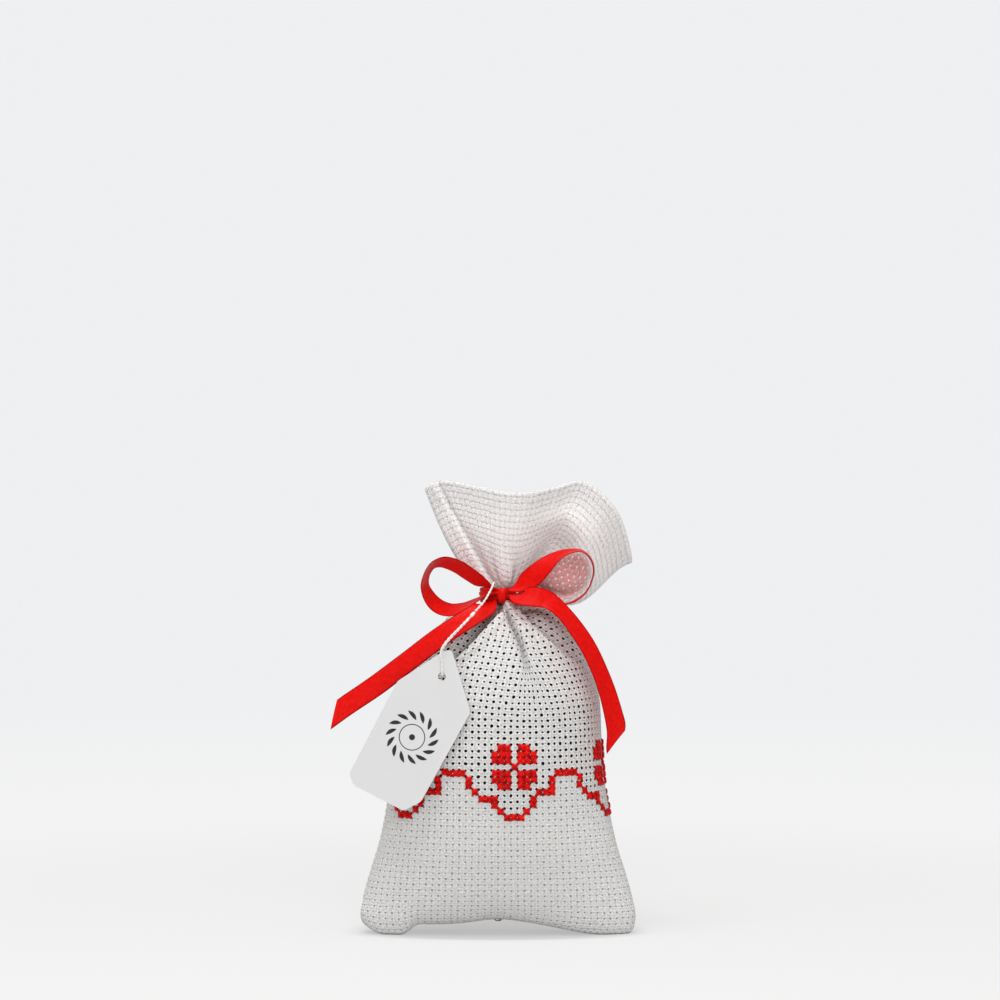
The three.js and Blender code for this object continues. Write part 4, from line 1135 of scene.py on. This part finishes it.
def crossStitches(name, squares):
    # two crossing strands per square: a half-round section along each diagonal, arched over the cloth
    squares = np.array(squares, float)
    squares = squares + np.random.default_rng(len(squares)).normal(0, stitches["jitter"], squares.shape)
    along = np.linspace(-1, 1, 7)[:, None]
    section = np.linspace(0, math.pi, 6)[None, :]
    rows, columns = len(along), section.shape[1]
    slim = stitches["slim"]
    reach = along * stitches["reach"]
    arch = np.sqrt(np.clip(1 - along ** 4, 0, 1))
    half = stitches["wide"] * (slim + (1 - slim) * arch)
    sideways = -np.cos(section) * half / math.sqrt(2)
    tube = np.array(tubeFaces(rows, columns))
    uv = np.stack(np.broadcast_arrays(section / math.pi, along), axis=-1).reshape(-1, 2)
    points, faces = [], []
    for strand, tilt in enumerate((1, -1)):
        bulge = stitches["rise"] * (slim + (1 - slim) * np.sin(section)) + stitches["over"] * strand
        lift = bulge * arch + stitches["edge"] * np.sin(section) - stitches["sink"]
        square = squares[:, 0, None, None] + reach + sideways
        row = tilt * (reach - sideways) - squares[:, 1, None, None]
        points.append(onCloth(square, row, lift).reshape(-1, 3))
        base = (strand * len(squares) + np.arange(len(squares)))[:, None, None] * rows * columns
        faces.append((tube[:, ::tilt] + base).reshape(-1, 4))
    return meshObject(name, np.vstack(points) * mm, np.vstack(faces), np.tile(uv, (2 * len(squares), 1)))


def threadMaterial():
    material, nodes = newMaterial("red_cotton_thread")
    across, along, _ = nodes.split(nodes.uv())
    # stranded cotton: lines along each strand, and painted shade where it dives into the cloth
    strand = nodes.math("SINE", across * 9.4 + along * 2.0)
    ends = nodes.step(nodes.math("ABSOLUTE", along), 0.55, 1.0)
    cloud = nodes.noise(nodes.place(), 900.0, 2.0)
    tone = nodes.mix(nodes.step(cloud, 0.3, 0.7), stitches["deepRed"], stitches["brightRed"])
    tone = nodes.mix(ends * 0.8, tone, stitches["endRed"])
    finishMaterial(nodes, tone, 0.4 + cloud * 0.2, strand, strength=0.9, distance=0.00012, specular=0.09)
    return material


redThread = threadMaterial()
petal = [(c, r) for c in (1, 2, 3) for r in (1, 2, 3) if (c, r) != (3, 3)]
flowerSquares = [(c * a, r * b) for a in (-1, 1) for b in (-1, 1) for c, r in petal] + [(0, 0)]
for number, centre in enumerate(stitches["flowers"], 1):
    flower = crossStitches(f"flowerStitches{number}", [(centre + c, r) for c, r in flowerSquares])
    dress(flower, redThread, "bag", "embroidery_thread", f"embroidered_flower_{number}")
vineSquares = [(centre + c, r) for centre in stitches["flowers"] for c, r in stitches["vine"]
               if 1 <= centre + c <= squaresAround - 1]
vine = crossStitches("vineStitches", vineSquares)
dress(vine, redThread, "bag", "embroidery_thread", "embroidered_vine")
print("cross-stitches made")


# Ribbon round the neck, and the knot

tie = {
    "radius": 4.95, "halfHeight": 2.1, "bulge": 0.4, "wrapSteps": (96, 40), "creases": (0.16, 0.1),
    "knotHalf": (1.35, 1.75, 2.2), "knotRows": 33, "knotColumns": 64, "boxiness": 0.62, "waist": 0.1,
}


def neckWrap():
    # a ring whose section is a flat oval with creases running round it
    rows, columns = tie["wrapSteps"]
    turn = np.linspace(0, 2 * math.pi, rows, endpoint=False)[:, None]
    around = np.linspace(0, 2 * math.pi, columns, endpoint=False)[None, :]
    up = np.sin(around) * tie["halfHeight"] + 0 * turn
    coarse, fine = tie["creases"]
    crease = coarse * np.sin(up * 4.2 + 0.7 * np.sin(turn * 2)) + fine * np.sin(up * 7.7 + turn * 3)
    out = tie["radius"] + tie["bulge"] * np.cos(around) + crease * np.clip(np.cos(around), 0, 1)
    points = np.stack([out * np.cos(turn), out * np.sin(turn), knot[2] + up], axis=-1)
    uv = np.stack(np.broadcast_arrays(up / ribbon["width"] + 0.5, turn * tie["radius"]), axis=-1)
    return meshObject("ribbonNeckWrap", points * mm, gridFaces(rows, columns, True, True)[:, ::-1], uv)


def bowKnot():
    # a rounded block with upright folds, squeezed at its waist
    rows, columns = tie["knotRows"], tie["knotColumns"]
    down, turn, _ = ballGrid(rows, columns)

    def boxy(value):
        return np.sign(value) * np.abs(value) ** tie["boxiness"]

    folds = 1 + 0.06 * np.cos(turn * 5 + 2.0 * np.cos(down)) + 0.04 * np.sin(turn * 9)
    folds = folds - tie["waist"] * np.sin(down) ** 2 * np.abs(np.cos(turn)) ** 3
    x = boxy(np.sin(down)) * boxy(np.cos(turn)) * folds
    y = boxy(np.sin(down)) * boxy(np.sin(turn)) * folds
    points = np.stack([x, y, boxy(np.cos(down)) + 0 * turn], axis=-1) * tie["knotHalf"] + knot
    uv = np.stack(np.broadcast_arrays(turn / math.pi % 1, down * 2.3), axis=-1)
    return meshObject("ribbonKnot", ballPoints(points) * mm, ballFaces(rows, columns), ballPoints(uv))


dress(neckWrap(), satin, "bag", "ribbon", "ribbon_neck_wrap")
dress(bowKnot(), satin, "bag", "ribbon", "ribbon_knot")
print("knot made")


# Tag: the card keeps its CAD shape; the string's knot is a wound ball

tag = {
    "stampMiddle": (0.7, -19.0), "ringRadius": 6.2, "leaves": 14, "leafHalf": (1.9, 0.62), "leafLean": 0.75,
    "lineRadius": 3.6, "lineHalf": 0.14, "dotRadius": 0.85, "soft": 0.06,
    "dull": (0.59, 0.59, 0.595), "pale": (0.63, 0.63, 0.63), "fibre": (0.58, 0.575, 0.57),
    "ink": (0.02, 0.02, 0.022),
}


def cardMaterial():
    # paper with a stamp: a ring of slanted leaves, a thin circle in it and a dot in the middle
    material, nodes = newMaterial("white_card")
    place = nodes.place()
    fibre = nodes.noise(place, 2600.0, 4.0, 0.65)
    cloud = nodes.noise(place, 90.0, 2.0)
    tone = nodes.mix(cloud, tag["dull"], tag["pale"])
    tone = nodes.mix(fibre * 0.15, tone, tag["fibre"])

    def alongCard(axis, shift):
        # distance in mm along one side of the card from the middle of the stamp
        reach = nodes.vector("DOT_PRODUCT", place, tuple(axis), out="Value")
        return reach * (1 / mm) - (float(tagHole @ axis) + shift)

    def inside(value, edge):
        return 1.0 - nodes.step(value, edge - tag["soft"], edge + tag["soft"])

    right, up = alongCard(cardRight, tag["stampMiddle"][0]), alongCard(cardUp, tag["stampMiddle"][1])
    radius = nodes.math("SQRT", right * right + up * up)
    outward = radius - tag["ringRadius"]
    # each leaf has its own share of the turn, and leans as it goes outwards
    turn = nodes.math("ARCTAN2", up, right) * (tag["leaves"] / (2 * math.pi))
    spacing = 2 * math.pi * tag["ringRadius"] / tag["leaves"]
    aside = (nodes.math("FRACT", turn + 8.0) - 0.5) * spacing
    lean, upright = math.sin(tag["leafLean"]), math.cos(tag["leafLean"])
    long, wide = tag["leafHalf"]
    length = (aside * lean + outward * upright) * (1 / long)
    width = (aside * upright - outward * lean) * (1 / wide)
    leaf = length * length + nodes.math("ABSOLUTE", width)
    circle = nodes.math("ABSOLUTE", radius - tag["lineRadius"])
    ink = nodes.math("MAXIMUM", inside(leaf, 0.9), inside(circle, tag["lineHalf"]))
    ink = nodes.math("MAXIMUM", ink, inside(radius, tag["dotRadius"]))
    # printed on the front alone, with a little wear
    normal = nodes.value("ShaderNodeTexCoord", out="Normal")
    facing = nodes.vector("DOT_PRODUCT", normal, tuple(cardFront), out="Value")
    ink = ink * nodes.step(facing, 0.5, 0.8) * nodes.step(fibre, 0.1, 0.4)
    tone = nodes.mix(ink, tone, tag["ink"])
    finishMaterial(nodes, tone, 0.6 + fibre * 0.12, fibre, strength=0.15, distance=0.00004, specular=0.25)
    return material


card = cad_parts["tag_card"]
card.data.materials.clear()
card.data.materials.append(cardMaterial())


def stringKnot():
    # a small oval knot along the string, with three crossing turns raised on it
    rows, columns = 33, 40
    down, turn, ball = ballGrid(rows, columns)
    raised = np.zeros(ball.shape[:2])
    for axis in ((0.9, 0.1, 0.4), (0.1, 0.5, 0.85), (-0.6, 0.3, 0.7)):
        height = ball @ unit(np.array(axis))
        raised = np.maximum(raised, np.sqrt(np.clip(1 - (height / 0.38) ** 2, 0, 1)))
    ball = ball * (0.74 + 0.26 * raised)[..., None]
    side = unit(np.cross(towards, [0.0, 1, 0]))
    front = np.cross(towards, side)
    radius, half = string["knotRadius"], string["knotLength"]
    points = ball @ np.stack([side * radius, front * radius, towards * half]) + string["knotPlace"]
    uv = np.stack(np.broadcast_arrays(turn / (2 * math.pi), down * 0.6), axis=-1)
    return meshObject("stringKnot", ballPoints(points) * mm, ballFaces(rows, columns), ballPoints(uv))


dress(stringKnot(), cotton, "string", "string", "string_knot")
print("tag and string knot made")


# Seams: a row of small thread stitches up the side and along the bottom

seams = {
    "radius": 0.22, "half": 0.85, "taper": 0.96, "raise": 0.12, "sideRows": (-22, 21),
    "bottomSpan": (-20, 19), "bottomStitches": 22, "below": 0.5, "endDiameter": 0.36,
    # thread end that hangs out under the front, coloured near black as painted shade of the shadowed gap
    # there
    "end": [(-1.1, -6, 4.8), (-0.5, -6.6, 4.4), (0.2, -6.9, 4.4), (0.9, -6.6, 4.6), (0.6, -6.3, 4.4),
            (0.1, -6.5, 4.5)],
    "endDull": (0.02, 0.018, 0.016), "endPale": (0.16, 0.15, 0.14),
}


def seamStitches(name, places, outward):
    # each stitch is a short rounded bar lying along the seam
    rows, columns = 6, 7
    along = np.linspace(-1, 1, rows)[:, None]
    around = np.linspace(0, 2 * math.pi, columns, endpoint=False)
    radius = seams["radius"] * np.sqrt(np.clip(1 - along ** 2 * seams["taper"], 0, 1))[..., None]
    onward = unit(np.gradient(places, axis=0))
    across = unit(np.cross(onward, outward))
    places, onward, across, outward = (v[:, None, None, :] for v in (places, onward, across, outward))
    ring = across * np.cos(around)[:, None] + outward * np.sin(around)[:, None]
    points = places + onward * (along * seams["half"])[..., None] + ring * radius
    one, size = tubeFaces(rows, columns), rows * columns
    faces = [[v + n * size for v in face] for n in range(len(places)) for face in one]
    uv = np.stack(np.broadcast_arrays(around / (2 * math.pi), along), axis=-1).reshape(-1, 2)
    return meshObject(name, points.reshape(-1, 3) * mm, faces, np.tile(uv, (len(places), 1)))


def sideSeam():
    # stitches up the left side, one to each row of the weave
    rows = np.arange(*seams["sideRows"], dtype=float)
    places = onCloth(0 * rows, rows, seams["raise"])
    return seamStitches("sideSeam", places, unit(onCloth(0 * rows, rows, 1.0) - places))


def bottomSeam():
    # stitches along the underside, up and down with the arch between the feet
    x = np.linspace(*seams["bottomSpan"], seams["bottomStitches"])
    height = archRise(x, 0) + sections[0, 0] * archSpan(x) - seams["below"]
    places = np.stack([x, 0 * x, height], axis=-1)
    return seamStitches("bottomSeam", places, np.broadcast_to([0.0, 0, -1], places.shape))


loose = twistedString("seamThreadEnd", seams["end"], seams["endDiameter"])[0]
dress(loose, stringMaterial("painted_shade_thread", seams["endDull"], seams["endPale"]), "bag", "thread")
dress(sideSeam(), cotton, "bag", "thread", "side_seam")
dress(bottomSeam(), cotton, "bag", "thread", "bottom_seam")
print("seams made")


# Floor and light: pale floor with the bag's own soft shadow, partly real and partly painted, and a plain
# studio sky

studio = {
    "background": (0.863, 0.868, 0.883), "floor": (0.896, 0.896, 0.896), "floorPaint": 0.68, "floorHalf": 6,
    "shadowShare": 0.38,                                     # how much of the bag's real shadow shows
    # painted shadow under the bag: its oval and its tone
    "contact": (0.041, 0.0155, 0.036), "paintedShadowTone": 0.8,   # shade under the bag: wide, ahead and behind
    "sky": (0.34, 0.72), "skyTone": (1, 0.99, 0.98), "aim": (0, 0, 0.08),
    # name, place, size and power of each lamp
    "lamps": [("topLight", (-0.12, -0.3, 1.0), 0.6, 6.4), ("frontLight", (0.1, -1.25, 0.55), 0.8, 7.0)],
}


def floorMaterial():
    material, nodes = newMaterial("pale_floor")
    place = nodes.place()
    away = nodes.vector("LENGTH", place, out="Value")
    near = 1.0 - nodes.step(away, 0.09, 0.35)
    # painted shadow: a soft oval of shade where the bag stands, longer behind it than in front
    wide, ahead, behind = studio["contact"]
    x, y, _ = nodes.split(place)
    aside = x * (1 / wide)
    deep = nodes.math("MAXIMUM", y * (-1 / ahead), y * (1 / behind))
    under = 1.0 - nodes.step(nodes.math("SQRT", aside * aside + deep * deep), 0.8, 1.12)
    dim = 1.0 - under * (1 - studio["paintedShadowTone"])
    # to the eye the floor glows like the backdrop, and near the bag it is partly a matt floor with shadows
    path = nodes.outputs("ShaderNodeLightPath")
    seen = nodes.math("MAXIMUM", path["Is Glossy Ray"], path["Is Transmission Ray"])
    seen = nodes.math("MAXIMUM", path["Is Camera Ray"], seen)
    share = seen * (1.0 - near * studio["shadowShare"])
    tone = nodes.mix(nodes.step(away, 0.15, 1.2), studio["floor"], studio["background"])
    glow = nodes.value("ShaderNodeEmission", {"Color": tone, "Strength": dim})
    paint = dim * studio["floorPaint"]
    paint = nodes.value("ShaderNodeCombineColor", {0: paint, 1: paint, 2: paint})
    matt = nodes.value("ShaderNodeBsdfDiffuse", {"Color": paint})
    both = nodes.value("ShaderNodeMixShader", {0: share, 1: matt, 2: glow})
    nodes.add("ShaderNodeOutputMaterial", {"Surface": both})
    return material


ground = np.array([[-1, -1, 0], [1, -1, 0], [1, 1, 0], [-1, 1, 0]], float) * studio["floorHalf"]
floor = meshObject("floor", ground, [[0, 1, 2, 3]], smooth=False)
floor.data.materials.append(floorMaterial())


def studioSky():
    # the backdrop is plain to the eye, and the sky that lights the bag grows brighter from the horizon up
    world = bpy.data.worlds.new("studio")
    world.use_nodes = True
    world.node_tree.nodes.clear()
    nodes = Nodes(world.node_tree)
    path = nodes.outputs("ShaderNodeLightPath")
    seen = nodes.math("MAXIMUM", path["Is Camera Ray"], path["Is Transmission Ray"])
    aloft = nodes.split(nodes.value("ShaderNodeTexCoord", out="Generated"))[2]
    dark, bright = studio["sky"]
    level = dark + nodes.step(aloft, -0.1, 1.0) * (bright - dark)
    light = nodes.value("ShaderNodeBackground", {"Color": (*studio["skyTone"], 1), "Strength": level})
    shown = nodes.value("ShaderNodeBackground", {"Color": (*studio["background"], 1), "Strength": 1.0})
    both = nodes.value("ShaderNodeMixShader", {0: seen, 1: light, 2: shown})
    nodes.add("ShaderNodeOutputWorld", {"Surface": both})
    return world


def softbox(name, place, size, power):
    # a round lamp turned towards the bag
    lamp = bpy.data.lights.new(name, "AREA")
    lamp.shape = "DISK"
    lamp.size = size
    lamp.energy = power
    box = bpy.data.objects.new(name, lamp)
    box.location = place
    x, y, z = np.array(studio["aim"]) - np.array(place)
    box.rotation_euler = (math.atan2(math.hypot(x, y), -z), 0, math.atan2(y, x) - math.pi / 2)
    bpy.context.scene.collection.objects.link(box)


for lamp in studio["lamps"]:
    softbox(*lamp)
bpy.context.scene.world = studioSky()
bpy.context.scene.view_settings.view_transform = "Standard"
print("studio set")
